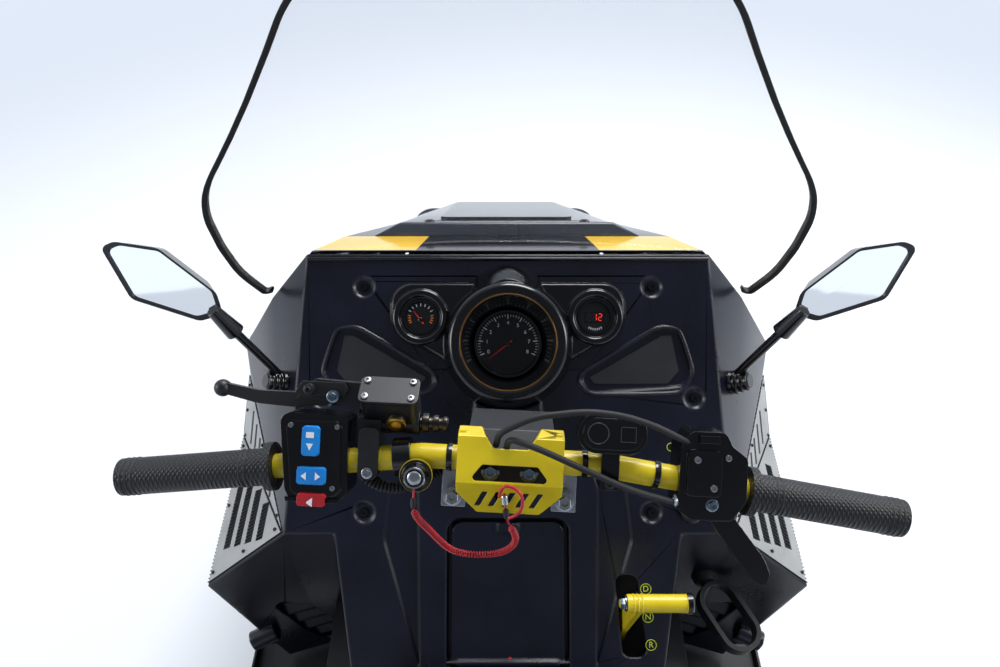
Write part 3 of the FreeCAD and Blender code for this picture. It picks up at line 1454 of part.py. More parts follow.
def bar_prism(outline, low, high):
    return prism([by_bar(across, up, low) for across, up in outline],
                 by_bar(0, 0, high) - by_bar(0, 0, low))


def bar_pad(outline, radii, low, high):
    """A pad that faces the rider, with rounded corners."""
    face = rounded([by_bar(across, up, low) for across, up in outline], radii)
    return face.extrude(by_bar(0, 0, high) - by_bar(0, 0, low))


bar_radius = size.bar_tube / 2
bar_bend = 80
bar_end_back, bar_end_drop = 20, 30


def on_bar(side, across):
    """A point on the handlebar's centre line, beyond its bend."""
    share = (across - bar_bend) / (size.bar_half - bar_bend)
    return bar_centre + V(side * across, -bar_end_back * share, -bar_end_drop * share)


def bar_sleeve(side, start, end, radius):
    begin, finish = on_bar(side, start), on_bar(side, end)
    return Part.makeCylinder(radius, (finish - begin).Length, begin, finish - begin)


bar_clear = bar_radius + size.seat_gap
bar_space = Part.makeCylinder(bar_clear, 2 * bar_bend, bar_centre - V(bar_bend, 0, 0), X_AXIS)
bar_space = bar_space.fuse([
    Part.makeSphere(bar_clear, bar_centre + V(side * bar_bend, 0, 0)) for side in (LEFT, RIGHT)]
    + [bar_sleeve(side, bar_bend, size.bar_half, bar_clear) for side in (LEFT, RIGHT)])
column_top = 868
column = Part.makeCylinder(size.column_tube / 2, column_top, column_foot, steer_axis)
RISER_SIDE = [(150, 1100), (150, 1138), (184, 1144), (232, 1110), (228, 1080), (204, 1078)]
riser = prism([V(-38, y, z) for y, z in RISER_SIDE], V(76, 0, 0))
pitman = arm_plate(column_foot, (LEFT, RIGHT), 20)
steering = column.fuse([riser, pitman]).cut(bar_space)
for side in (LEFT, RIGHT):
    ear_bolt = Part.makeCylinder(7, 12, by_bar(side * 50, -34, -6), by_bar(0, 0, 1) - by_bar(0, 0, 0))
    ear_block = bar_box((side * 50 - 11, -46, -18), (side * 50 + 11, -12, -6))
    steering = steering.fuse([ear_bolt, ear_block])
keep("steering_column", turned(solid("column_whole", steering.cut(bar_space)), column_foot))

handlebar = Part.makeCylinder(bar_radius, 2 * bar_bend, bar_centre - V(bar_bend, 0, 0), X_AXIS)
for side in (LEFT, RIGHT):
    bend = bar_centre + V(side * bar_bend, 0, 0)
    handlebar = handlebar.fuse([Part.makeSphere(bar_radius, bend),
                                bar_sleeve(side, bar_bend, size.bar_half, bar_radius)])
keep("handlebar", turned(solid("bar", handlebar), column_foot))

grips = []
for side in (LEFT, RIGHT):
    grip_start = size.bar_half - size.grip_length
    sleeve = bar_sleeve(side, grip_start, size.bar_half + 5, size.grip_radius)
    bore = bar_sleeve(side, grip_start - 2, size.bar_half + 1, bar_clear)
    flange = bar_sleeve(side, grip_start, grip_start + 8, size.grip_radius + 5)
    grips.append(solid(f"grip_{side + 1}", sleeve.fuse(flange).cut(bore)))
keep("grips", turned(group("grip_pair", grips), column_foot))

# Yellow cover over the bar's centre: bent sheet with an opening
COVER_BEND = [(30, 12), (24, 30), (-16, 34), (-46, 10)]
cover_sheet = 3
cover_half = 46


def bent_strip(bend, half_width, thick):
    """Sheet bent along the machine's width, from its edge seen from the side."""
    inner = [(up, out - thick) for up, out in bend]
    outline = [by_bar(-half_width, up, out) for up, out in bend + inner[::-1]]
    return prism(outline, V(2 * half_width, 0, 0))


cover = bent_strip(COVER_BEND, cover_half, cover_sheet)
cover = cover.cut(bar_pad([(-24, 0), (24, 0), (35, -14), (-35, -14)], 3, 20, 45))
cover = cover.cut(bar_prism([(-30, 36), (30, 36), (15, 14), (-15, 14)], 6, 45))
for slit in range(5):
    start = -30 + 12 * slit
    cover = cover.cut(bar_prism(
        [(start, -39), (start + 5, -39), (start + 12, -24), (start + 7, -24)], 0, 45))
for side in (LEFT, RIGHT):
    cover = cover.cut(bar_prism([(side * 24, -50), (side * 60, -50), (side * 60, -10)], 0, 45))
    cover = cover.fuse(bar_box((side * 42 - 3, 12, -2), (side * 42 + 3, 28, 26)))
keep("riser_cover", turned(solid("cover", cover.cut(bar_space)), column_foot))

# Left controls: switch housing, brake master cylinder and lever
SWITCH_OUTLINE = [(-206, 30), (-196, 35), (-145, 33), (-143, -36), (-152, -44), (-194, -43), (-199, -34)]
SWITCH_FACE = [(-199, 27), (-150, 28), (-148, -32), (-154, -38), (-192, -37)]
switches = bar_pad(SWITCH_OUTLINE, 8, -30, 14).fuse(bar_pad(SWITCH_FACE, 7, 13, 19)).cut(bar_space)
# low and high corner of each rocker
ROCKERS = [((-183, -2), (-168, 24)), ((-186, -27), (-161, -12)), ((-185, -46), (-160, -35))]
for (low_x, low_up), (high_x, high_up) in ROCKERS:
    switches = switches.fuse(bar_pad(
        [(low_x, low_up), (high_x, low_up), (high_x, high_up), (low_x, high_up)], 3, 12, 24))
keep("switch_housing", turned(solid("switches", switches), column_foot))
master = bar_pad([(-135, -22), (-117, -22), (-117, 24), (-135, 24)], 6, -24, 14)
# the reservoir stands upright, its lid level, on a cylinder along the bar
tank_low, tank_high, tank_back, tank_deep = 1124, 1163, 190, 28
TANK = [V(-136, tank_back, tank_low), V(-85, tank_back, tank_low),
        V(-85, tank_back + tank_deep, tank_low), V(-136, tank_back + tank_deep, tank_low)]
master = master.fuse(rounded(TANK, 6).extrude(Z_AXIS * (tank_high - tank_low)))
lid_edge = [point + V(0, 0, tank_high - tank_low) for point in toward(TANK, -0.05)]
master = master.fuse(rounded(lid_edge, 6).extrude(Z_AXIS * 4))
cylinder_at = V(-140, 198, 1128)
master = master.fuse(Part.makeCylinder(11, 56, cylinder_at, X_AXIS))
master = master.fuse(bar_prism([(-140, 8), (-118, 8), (-118, 30), (-140, 30)], -16, 2))
for start, length, radius in ((56, 26, 5.5), (58, 6, 9), (68, 5, 8), (77, 4, 7)):
    master = master.fuse(Part.makeCylinder(radius, length, cylinder_at + X_AXIS * start, X_AXIS))
sight = Part.makeCylinder(8, 4, V(-104, tank_back - 3, 1141), Y_AXIS)
master = master.fuse(sight)
lever_pivot = bar_prism([(-196, 46), (-136, 40), (-136, 62), (-180, 64)], -16, -2)
LEVER = [(-268, 47), (-232, 39), (-196, 37), (-150, 44), (-150, 57), (-196, 51), (-232, 51), (-268, 57)]
lever = bar_pad(LEVER, [4, 60, 60, 8, 8, 40, 60, 4], -12, -3)
for post_x, post_up in ((-182, 55), (-160, 50)):
    lever = lever.fuse(Part.makeCylinder(5, 16, by_bar(post_x, post_up, -4), by_bar(0, 0, 1) - by_bar(0, 0, 0)))
lever = lever.fuse(Part.makeSphere(8, by_bar(-266, 51, -7.5)))
keep("brake_lever", turned(solid("brake", master.fuse([lever_pivot, lever]).cut(bar_space)), column_foot))

# Right controls: throttle housing with its thumb lever, and a small round pod
THROTTLE_OUTLINE = [(148, -34), (149, 22), (158, 36), (188, 36), (194, 24), (208, 14), (208, -24), (196, -41),
                    (160, -42)]
THUMB = [(166, -28), (182, -18), (203, -44), (226, -72), (232, -86), (229, -98), (218, -94), (195, -66)]
throttle = bar_pad(THROTTLE_OUTLINE, 7, -26, 16).fuse(
    bar_pad([(154, -20), (154, 20), (184, 20), (184, -20)], 5, 15, 22)).cut(bar_space)
thumb = bar_pad(THUMB, [8, 8, 50, 40, 8, 6, 12, 60], 4, 15)
throttle = throttle.fuse(thumb).cut(bar_space)
keep("throttle", turned(solid("throttle_whole", throttle), column_foot))
pod_body = bar_pad([(58, 13), (58, 48), (118, 48), (118, 13)], 17, 8, 22)
pod_body = pod_body.fuse(bar_pad([(62, 17), (62, 44), (114, 44), (114, 17)], 13, 20, 26))
pod_clamp = bar_box((80, -20, -20), (96, 20, 16)).cut(bar_space)
keep("accessory_pod", turned(solid("round_pod", pod_body.fuse(pod_clamp).cut(bar_space)), column_foot))
to_rider = by_bar(0, 0, 1) - by_bar(0, 0, 0)
stop = Part.makeCylinder(10, 20, by_bar(-82, -15, 4), to_rider)
stop = stop.fuse(Part.makeCylinder(14, 5, by_bar(-82, -15, 16), to_rider))
stop = stop.fuse(Part.makeCone(12, 9, 9, by_bar(-82, -15, 21), to_rider))
stop = stop.fuse(bar_sleeve(LEFT, 88, 104, bar_radius + 6)).cut(bar_space)
keep("stop_switch", turned(solid("stop", stop), column_foot))

# Cords: the stop switch's curly lanyard hangs free, and two cables run over the
# cover to the throttle. Their routes are set by hand, with the bar straight.

LANYARD = [(-82, 132, 1124), (-84, 128, 1103), (-84, 131, 1081), (-81, 136, 1058), (-75, 141, 1035),
           (-69, 145, 1012), (-61, 147, 991), (-52, 149, 976), (-38, 151, 967), (-22, 152, 966), (-7, 151, 973),
           (3, 149, 987), (9, 146, 1007), (9, 141, 1031), (5, 135, 1055), (1, 128, 1078), (-1, 122, 1100),
           (-4, 132, 1123)]
CABLES = {
    "upper": [(-13, 16, 22), (-11, 28, 36), (18, 44, 41), (62, 51, 42), (92, 49, 40), (122, 41, 35), (156, 25, 13)],
    "lower": [(-4, 14, 24), (-2, 24, 35), (22, 18, 42), (62, 2, 40), (102, -15, 32), (148, -28, 14)],
}
lanyard_radius, cable_radius = 3.5, 2.8


def cord_route(points):
    """Straight runs joined by tangent arcs, as large as the runs allow."""
    edges = []
    start = points[0]
    for back, corner, ahead in zip(points, points[1:], points[2:]):
        before, after = (back - corner), (ahead - corner)
        half_turn = (math.pi - before.getAngle(after)) / 2
        reach = 0.45 * min(before.Length, after.Length)
        radius = reach / math.tan(half_turn)
        before.normalize()
        after.normalize()
        between = (before + after).normalize()
        middle = corner + between * (radius / math.cos(half_turn) - radius)
        edges.append(Part.LineSegment(start, corner + before * reach).toShape())
        edges.append(Part.Arc(corner + before * reach, middle, corner + after * reach).toShape())
        start = corner + after * reach
        print(f"cord bend radius {radius:.0f}")
    edges.append(Part.LineSegment(start, points[-1]).toShape())
    return Part.Wire(edges)


def cord(points, radius):
    wire = cord_route(points)
    tube = pipe(wire, radius)
    print(f"cord {wire.Length:.0f} long, volume against section times length "
          f"{tube.Volume / (math.pi * radius ** 2 * wire.Length):.3f}")
    return tube


lanyard = cord([V(*point) for point in LANYARD], lanyard_radius).cut(stop).cut(cover)
keep("lanyard", turned(solid("lanyard_tube", lanyard), column_foot))
cables = [
    solid(f"cable_{label}", cord([by_bar(*point) for point in route], cable_radius).cut(throttle))
    for label, route in CABLES.items()
]
keep("control_cables", turned(group("cable_pair", cables), column_foot))

# Struts: a turning housing with a steering arm, a rubber boot and a sliding leg

struts = {LEFT: "strut_left", RIGHT: "strut_right"}
arm_height = 308
for side, label in struts.items():
    bolt = on_strut(side, 0)
    housing = Part.makeCylinder(size.housing_radius, 275, on_strut(side, 225), steer_axis)
    cap = Part.makeCylinder(size.collar_radius, 20, on_strut(side, collar_high + size.motion_gap), steer_axis)
    boot = Part.makeCylinder(size.housing_radius + 3, 150, on_strut(side, 84), steer_axis)
    for fold in range(7):
        boot = boot.fuse(Part.makeCone(
            size.housing_radius + 3, size.housing_radius + 6, 8, on_strut(side, 88 + 20 * fold), steer_axis))
    leg = Part.makeCylinder(size.leg_radius, 215, on_strut(side, 15), steer_axis)
    lug = Part.makeCylinder(22, 40, bolt - V(20, 0, 0), X_AXIS)
    bore = Part.makeCylinder(size.ski_bolt / 2 + size.seat_gap, 60, bolt - V(30, 0, 0), X_AXIS)
    arm = arm_plate(on_strut(side, arm_height), (side,), 32)
    whole = housing.fuse([cap, boot, leg, lug, arm]).cut(bore)
    keep(label, turned(solid(label + "_whole", whole), bolt))

# Skis with saddle, bolt, keel runner and a tip loop

SKI_SOLE = [(440, 46), (500, 30), (1150, 30), (1240, 44), (1310, 76), (1365, 122), (1410, 180),
            (1402, 186), (1357, 129), (1304, 85), (1237, 54), (1148, 40), (502, 40), (444, 55)]
KEEL_SIDE = [(540, 30), (572, 0.3), (1090, 0.3), (1140, 30)]
SADDLE_SIDE = [(900, 40), (1100, 40), (1026, 160), (1010, 174), (990, 174), (974, 160)]
for side, label in {LEFT: "ski_left", RIGHT: "ski_right"}.items():
    middle = side * half_stance
    blade = profile(label + "_blade", "YZ", SKI_SOLE, size.ski_width, (middle - size.ski_width / 2, 0, 0))
    parts = [blade, profile(label + "_keel", "YZ", KEEL_SIDE, 14, (middle - 7, 0, 0))]
    for offset in (-32, 24):
        parts.append(profile(f"{label}_saddle_{offset + 32}", "YZ", SADDLE_SIDE, 8, (middle + offset, 0, 0)))
    for offset in (-62, 54):
        parts.append(block(f"{label}_rib_{offset + 62}", (middle + offset, 520, 40), (middle + offset + 8, 1140, 56)))
    bolt = on_strut(side, 0)
    parts.append(rod(label + "_bolt", bolt - V(42, 0, 0), bolt + V(42, 0, 0), size.ski_bolt / 2))
    x = float(middle)
    parts += bars(label + "_loop", [(x - 60, 1292, 76), (x - 60, 1330, 190), (x + 60, 1330, 190),
                                    (x + 60, 1292, 76)], 7)
    keep(label, turned(fuse(label + "_whole", parts), bolt))

# Tie rods from the pitman arm to the steering arms

for side, label in {LEFT: "tie_rod_left", RIGHT: "tie_rod_right"}.items():
    down = steer_axis * ((rod_end_low + rod_end_high) / 2)
    inner_eye = column_foot + arm_offset(side) + down
    outer_eye = on_strut(side, arm_height) + arm_offset(side) + down
    run = outer_eye - inner_eye
    bar = Part.makeCylinder(7, run.Length, inner_eye, run)
    thick = rod_end_high - rod_end_low
    for eye in (inner_eye, outer_eye):
        bar = bar.fuse(Part.makeCylinder(rod_end_radius, thick, eye - steer_axis * (thick / 2), steer_axis))
    for eye in (inner_eye, outer_eye):
        bar = bar.cut(Part.makeCylinder(
            stud + size.seat_gap, thick + 20, eye - steer_axis * (thick / 2 + 10), steer_axis))
    rod_thing = solid(label + "_bar", bar)
    offset = arm_offset(side)
    rod_thing.Placement.Base = Rotation(steer_axis, rest_turn).multVec(offset) - offset
    keep(label, rod_thing)

# Check every object, then write one file for each sub-part

doc.recompute()
for thing in doc.Objects:
    if any(word in thing.State for word in ("Invalid", "Error")):
        raise RuntimeError(f"{thing.Label} did not build")
os.makedirs("parts", exist_ok=True)
for thing in pieces:
    if thing.Shape.isNull() or not thing.Shape.isValid():
        raise RuntimeError(f"{thing.Label} has no sound shape")
for thing in pieces:
    thing.Shape.exportStep(f"parts/{thing.Label}.step")
print(len(pieces), "sub-parts written")
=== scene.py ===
# %% [markdown]
# A wide-track utility snowmobile, seen from the rider's place.
# The construction comes ready made as the frame: real sizes, in metres, +Y to
# the nose, +X to the rider's right, +Z up. This script gives it its surfaces
# and the small pieces that are made by hand.

# %% Load the frame
import json
import math

import bpy
from mathutils import Matrix, Vector

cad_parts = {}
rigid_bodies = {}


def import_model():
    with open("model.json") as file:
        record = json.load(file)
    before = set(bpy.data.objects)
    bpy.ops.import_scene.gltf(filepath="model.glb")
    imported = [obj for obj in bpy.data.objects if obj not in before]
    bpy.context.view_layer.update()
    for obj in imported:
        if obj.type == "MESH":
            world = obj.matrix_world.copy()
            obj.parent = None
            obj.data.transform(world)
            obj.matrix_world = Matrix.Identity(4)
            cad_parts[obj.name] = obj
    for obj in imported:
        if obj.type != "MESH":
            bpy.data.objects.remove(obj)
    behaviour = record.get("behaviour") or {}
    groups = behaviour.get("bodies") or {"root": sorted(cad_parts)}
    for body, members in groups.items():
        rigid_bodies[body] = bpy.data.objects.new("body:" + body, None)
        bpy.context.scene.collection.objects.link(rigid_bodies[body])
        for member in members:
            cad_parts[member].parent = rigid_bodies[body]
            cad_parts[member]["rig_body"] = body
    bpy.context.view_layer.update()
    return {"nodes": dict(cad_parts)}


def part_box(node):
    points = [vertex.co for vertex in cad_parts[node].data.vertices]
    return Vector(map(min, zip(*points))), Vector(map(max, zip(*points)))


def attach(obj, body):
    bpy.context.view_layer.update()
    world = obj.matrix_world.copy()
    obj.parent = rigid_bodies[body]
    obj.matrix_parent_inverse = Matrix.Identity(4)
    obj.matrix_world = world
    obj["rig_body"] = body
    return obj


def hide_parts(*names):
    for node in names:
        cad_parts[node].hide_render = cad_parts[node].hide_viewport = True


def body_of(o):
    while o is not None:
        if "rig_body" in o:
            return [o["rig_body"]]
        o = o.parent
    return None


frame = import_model()
nodes = frame["nodes"]

# %% [markdown]
# The picture is taken by someone who sits on the seat and looks down at the
# dash. A lens of 27 mm on a 36 mm sensor, held 1.69 m above the ground and
# tipped 47 degrees down, puts every gauge and grip where the eye sees it.

# %% Camera
CAMERA_AT = (-0.011, -0.209, 1.691)
CAMERA_DOWN = 47
LENS_MM, SENSOR_MM = 27, 36
camera_data = bpy.data.cameras.new("rider_eye")
camera_data.lens = LENS_MM
camera_data.sensor_width = SENSOR_MM
camera = bpy.data.objects.new("rider_eye", camera_data)
camera.location = CAMERA_AT
camera.rotation_euler = (math.radians(90 - CAMERA_DOWN), 0, 0)
bpy.context.scene.collection.objects.link(camera)
bpy.context.scene.camera = camera
print("camera at", CAMERA_AT, "looks", CAMERA_DOWN, "degrees down")

# %% [markdown]
# Two tilted frames carry nearly all the small pieces. The dash leans back by
# 39.4 degrees, and the handlebar faces the rider at 43 degrees and stands
# turned by 3 degrees about its column. A piece is modelled flat, with its back
# on the ground, and one of these matrices carries it to its place.

# %% Frames of the dash and the bar
MM = 0.001


def at(across, along, out=0.0):
    """A move by millimetres."""
    return Matrix.Translation(Vector((across, along, out)) * MM)


def lean(degrees, axis="X"):
    """A turn by degrees about an axis."""
    return Matrix.Rotation(math.radians(degrees), 4, axis)


DASH_SLOPE, BAR_SLOPE, COLUMN_RAKE, BAR_TURN = 39.4, 43, 22, -3
on_dash = at(0, 500, 907.7) @ lean(DASH_SLOPE)
column_axis = Vector((0, -math.sin(math.radians(COLUMN_RAKE)), math.cos(math.radians(COLUMN_RAKE))))
column_foot = Vector((0, 543, 283)) * MM
steered = (Matrix.Translation(column_foot) @ Matrix.Rotation(math.radians(BAR_TURN), 4, column_axis)
           @ Matrix.Translation(-column_foot))
on_bar = steered @ at(0, 168, 1120) @ lean(BAR_SLOPE)

# %% [markdown]
# Colours are written as a paint shop would, in sRGB hex, and turned to the
# linear values that the shader works in. One helper adds a node, sets it up
# and joins it to what feeds it.

# %% Colours and nodes


def linear(code):
    """A colour such as "f2c22e" as linear red, green, blue and alpha."""
    channels = [int(code[start:start + 2], 16) / 255 for start in (0, 2, 4)]
    bent = [c / 12.92 if c <= 0.04045 else ((c + 0.055) / 1.055) ** 2.4 for c in channels]
    return (*bent, 1.0)


def add_node(tree, kind, settings=None, feeds=None):
    """One node, with its settings, and its inputs as values or as sockets."""
    made = tree.nodes.new(kind)
    for key, value in (settings or {}).items():
        setattr(made, key, value)
    for key, value in (feeds or {}).items():
        if isinstance(value, bpy.types.NodeSocket):
            tree.links.new(value, made.inputs[key])
        else:
            made.inputs[key].default_value = value
    return made


def new_finish(name):
    """An empty material with its shader: returns it, its tree and the shader."""
    made = bpy.data.materials.new(name)
    made.use_nodes = True
    tree = made.node_tree
    shader = next(item for item in tree.nodes if item.type == "BSDF_PRINCIPLED")
    return made, tree, shader


# %% [markdown]
# Most of the machine is moulded, painted or cast, and such a surface is never
# one flat colour. It has soft patches where it has been handled, and a fine
# grain from the mould or the powder. Both are drawn by noise whose scale comes
# from a real size in millimetres.

# %% A finish with patches and grain


def grained(name, colour, patch, patch_mm, grain_mm, grain_deep, rough,
            metallic=0.0, ior=1.5, soft_edge=0.0):
    """Two close colours in soft patches, a fine grain in relief and, on a moulding, soft edges."""
    made, tree, shader = new_finish(name)
    place = add_node(tree, "ShaderNodeTexCoord").outputs["Object"]
    cloud = add_node(tree, "ShaderNodeTexNoise", None, {
        "Vector": place, "Scale": 1 / (patch_mm * MM), "Detail": 4.0, "Roughness": 0.6})
    share = add_node(tree, "ShaderNodeMapRange", None, {
        "Value": cloud.outputs["Fac"], "From Min": 0.35, "From Max": 0.7})
    blend = add_node(tree, "ShaderNodeMix", {"data_type": "RGBA"}, {
        "Factor": share.outputs["Result"], "A": linear(colour), "B": linear(patch)})
    dulling = add_node(tree, "ShaderNodeMapRange", None, {
        "Value": cloud.outputs["Fac"], "To Min": rough[0], "To Max": rough[1]})
    grain = add_node(tree, "ShaderNodeTexNoise", None, {
        "Vector": place, "Scale": 1 / (grain_mm * MM), "Detail": 2.0})
    relief = add_node(tree, "ShaderNodeBump", None, {
        "Height": grain.outputs["Fac"], "Distance": grain_deep * MM, "Strength": 0.6})
    if soft_edge:
        edge = add_node(tree, "ShaderNodeBevel", {"samples": 4}, {"Radius": soft_edge * MM})
        tree.links.new(edge.outputs["Normal"], relief.inputs["Normal"])
    tree.links.new(blend.outputs["Result"], shader.inputs["Base Color"])
    tree.links.new(dulling.outputs["Result"], shader.inputs["Roughness"])
    tree.links.new(relief.outputs["Normal"], shader.inputs["Normal"])
    shader.inputs["Metallic"].default_value = metallic
    if not metallic:
        shader.inputs["IOR"].default_value = ior
    return made


def clear(name, ior, rough, tint="ffffff"):
    """A see-through plastic or glass."""
    made, _, shader = new_finish(name)
    shader.inputs["Base Color"].default_value = linear(tint)
    shader.inputs["Transmission Weight"].default_value = 1.0
    shader.inputs["Roughness"].default_value = rough
    shader.inputs["IOR"].default_value = ior
    return made


# %% [markdown]
# The finishes are named for what the real surfaces are. Moulded ABS gives a
# satin black with a little blue painted into its colour, a painted reflection
# of the sky, powder coat a fine orange peel, zinc a cold bright grey, and
# rubber hardly any shine at all.

# %% Finishes
# The navy of 070b17 and its patch 0b1122 is a painted reflection of the blue sky, laid into the black's own
# colour.
moulded_abs = grained("moulded_black_abs", "070b17", "0b1122", 90, 0.9, 0.05, (0.22, 0.36), ior=1.54,
                      soft_edge=5.0)
gloss_abs = grained("gloss_black_abs", "07080b", "0c0d10", 60, 1.5, 0.01, (0.10, 0.2), ior=1.54)
satin_cover = grained("satin_grey_abs", "34383f", "3d4148", 70, 0.8, 0.05, (0.3, 0.42), ior=1.54)
powder_black = grained("black_powder_coat", "0e0f12", "15161a", 50, 0.7, 0.06, (0.34, 0.5))
powder_yellow = grained("yellow_powder_coat", "dcc522", "cdb41a", 40, 0.8, 0.05, (0.24, 0.36))
grille_grey = grained("grey_powder_coat", "a9aaa8", "989a99", 60, 0.7, 0.05, (0.38, 0.5), metallic=0.35)
handle_rubber = grained("moulded_rubber", "0e0f11", "17181a", 25, 0.6, 0.08, (0.55, 0.72), ior=1.52)
track_rubber = grained("vulcanised_track_rubber", "17181a", "232426", 70, 1.4, 0.2, (0.66, 0.85), ior=1.52)
steel = grained("zinc_plated_steel", "b9bcc0", "a5a8ad", 20, 0.5, 0.02, (0.22, 0.36), metallic=1.0)
blue_zinc = grained("blue_zinc_plate", "7f93a8", "a0a4a0", 9, 0.5, 0.02, (0.2, 0.32), metallic=1.0)
brass = grained("turned_brass", "b89647", "a5843a", 12, 0.5, 0.02, (0.25, 0.4), metallic=1.0)
cast_metal = grained("cast_aluminium", "8f9194", "7c7e82", 30, 1.6, 0.15, (0.42, 0.6), metallic=0.9)
slide_plastic = grained("slide_polyethylene", "26272a", "303236", 60, 1.0, 0.04, (0.35, 0.5))
ski_plastic = grained("ski_polyethylene", "15161a", "202228", 80, 1.1, 0.06, (0.3, 0.48))
seat_vinyl = grained("seat_vinyl", "101115", "181a1f", 70, 1.3, 0.15, (0.42, 0.6), ior=1.5)
tunnel_metal = grained("painted_aluminium", "15171a", "212428", 110, 0.9, 0.05, (0.34, 0.5))
dial_black = grained("dial_print_black", "07080a", "0b0c0f", 30, 0.5, 0.01, (0.3, 0.4))
switch_blue = grained("moulded_blue_nylon", "1c86d8", "1674c2", 20, 0.8, 0.04, (0.26, 0.38), ior=1.53)
horn_red = grained("moulded_red_nylon", "b3202c", "a01a25", 20, 0.8, 0.04, (0.28, 0.4), ior=1.53)
lanyard_red = grained("red_polyurethane", "c3202b", "a91823", 12, 0.6, 0.03, (0.3, 0.42), ior=1.5)
amber_glass = grained("amber_sight_glass", "d9a326", "b07e14", 8, 0.5, 0.01, (0.08, 0.16), ior=1.5)
dark_zinc = grained("black_zinc_plate", "3a3834", "57504a", 9, 0.5, 0.02, (0.22, 0.34), metallic=1.0)

# %% [markdown]
# The grips are rubber with a diamond pattern, which keeps a glove from
# slipping. Two sets of waves that cross at a slant give the diamonds. Their
# pitch is 3.2 mm, as coarse as it needs to be to show from the seat.

# %% Knurled rubber
KNURL_MM, KNURL_SLANT = 3.2, 38
WAVE_SCALE_OF_ONE_MM = 0.314 / MM
grip_rubber, tree, shader = new_finish("knurled_grip_rubber")
place = add_node(tree, "ShaderNodeTexCoord").outputs["Object"]
bands = [add_node(tree, "ShaderNodeTexWave", {"bands_direction": "X"}, {
    "Vector": add_node(tree, "ShaderNodeMapping", None, {
        "Vector": place, "Rotation": (0, 0, math.radians(turn))}).outputs["Vector"],
    "Scale": WAVE_SCALE_OF_ONE_MM / KNURL_MM}) for turn in (KNURL_SLANT, -KNURL_SLANT)]
crossed = add_node(tree, "ShaderNodeMath", {"operation": "MULTIPLY"}, {
    0: bands[0].outputs["Fac"], 1: bands[1].outputs["Fac"]})
knurl = add_node(tree, "ShaderNodeBump", None, {
    "Height": crossed.outputs["Value"], "Distance": 0.5 * MM, "Strength": 0.9})
tree.links.new(knurl.outputs["Normal"], shader.inputs["Normal"])
shader.inputs["Base Color"].default_value = linear("111214")
shader.inputs["Roughness"].default_value = 0.48

# %% [markdown]
# Prints, lacquers and lenses are thin and even, so their two colours lie close
# together. The screen is so thin and clear that only its edge shows. A mirror
# is silver behind glass, and a faint light of its own keeps it bright although
# the sky behind the machine is dim.

# %% Prints, lenses and lights
print_white = grained("pad_print_white", "e8eaec", "dcdfe2", 15, 0.5, 0.01, (0.4, 0.5))
print_lime = grained("pad_print_lime", "b9c833", "aab92c", 15, 0.5, 0.01, (0.4, 0.5))
needle_red = grained("needle_red_lacquer", "e3222b", "d31c25", 15, 0.5, 0.01, (0.3, 0.4))
mark_orange = grained("dial_print_orange", "e0782a", "cf6c22", 15, 0.5, 0.01, (0.4, 0.5))
amber_ring = grained("amber_anodised_ring", "6a4a1c", "54390f", 15, 0.5, 0.01, (0.25, 0.4), metallic=0.6)
label_grey = grained("bare_label_film", "15171c", "1b1d23", 30, 0.6, 0.01, (0.5, 0.62))
red_lens = grained("red_acrylic", "8e0d12", "7a0a10", 40, 2.0, 0.05, (0.1, 0.2), ior=1.49)
lens_clear = clear("lamp_polycarbonate", 1.58, 0.05)
pane_clear, _, pane_shader = new_finish("screen_polycarbonate")
pane_shader.inputs["Base Color"].default_value = linear("dfe6ec")
pane_shader.inputs["Roughness"].default_value = 0.04
pane_shader.inputs["Alpha"].default_value = 0.07
mirror_glass, _, mirror_shader = new_finish("silvered_mirror_glass")
mirror_shader.inputs["Base Color"].default_value = linear("e4e9ee")
mirror_shader.inputs["Metallic"].default_value = 1.0
mirror_shader.inputs["Roughness"].default_value = 0.03
mirror_shader.inputs["Emission Color"].default_value = linear("eef3f8")
mirror_shader.inputs["Emission Strength"].default_value = 0.4
led_red, _, led_shader = new_finish("lit_red_display")
led_shader.inputs["Base Color"].default_value = linear("e02a24")
led_shader.inputs["Emission Color"].default_value = linear("ff3a2c")
led_shader.inputs["Emission Strength"].default_value = 0.8

# %% [markdown]
# The hood is one black moulding with gloss yellow corners at its back edge.
# The paint follows the shape of the moulding, so the colour is chosen by where
# on the hood a point lies: further out than a slanting line, and behind the
# step in the top.

# %% The hood's two colours
YELLOW_LEAN, YELLOW_INNER = -0.12, 0.206
YELLOW_FROM, YELLOW_TO = 0.6155, 0.702
PEEL_MM = 6
hood_paint, tree, shader = new_finish("gloss_hood_paint")
spot = add_node(tree, "ShaderNodeSeparateXYZ", None, {
    "Vector": add_node(tree, "ShaderNodeTexCoord").outputs["Object"]})
outward = add_node(tree, "ShaderNodeMath", {"operation": "ABSOLUTE"}, {0: spot.outputs["X"]})
slanted = add_node(tree, "ShaderNodeMath", {"operation": "MULTIPLY_ADD"}, {
    0: spot.outputs["Y"], 1: YELLOW_LEAN, 2: YELLOW_INNER})
beyond = add_node(tree, "ShaderNodeMath", {"operation": "GREATER_THAN"}, {
    0: outward.outputs["Value"], 1: slanted.outputs["Value"]})
behind = add_node(tree, "ShaderNodeMath", {"operation": "LESS_THAN"}, {0: spot.outputs["Y"], 1: YELLOW_TO})
on_top = add_node(tree, "ShaderNodeMath", {"operation": "GREATER_THAN"}, {
    0: spot.outputs["Y"], 1: YELLOW_FROM})
on_corner = add_node(tree, "ShaderNodeMath", {"operation": "MULTIPLY"}, {
    0: beyond.outputs["Value"], 1: on_top.outputs["Value"]})
yellow_share = add_node(tree, "ShaderNodeMath", {"operation": "MULTIPLY"}, {
    0: on_corner.outputs["Value"], 1: behind.outputs["Value"]})
paint_mix = add_node(tree, "ShaderNodeMix", {"data_type": "RGBA"}, {
    "Factor": yellow_share.outputs["Value"], "A": linear("08090d"), "B": linear("f0c02c")})
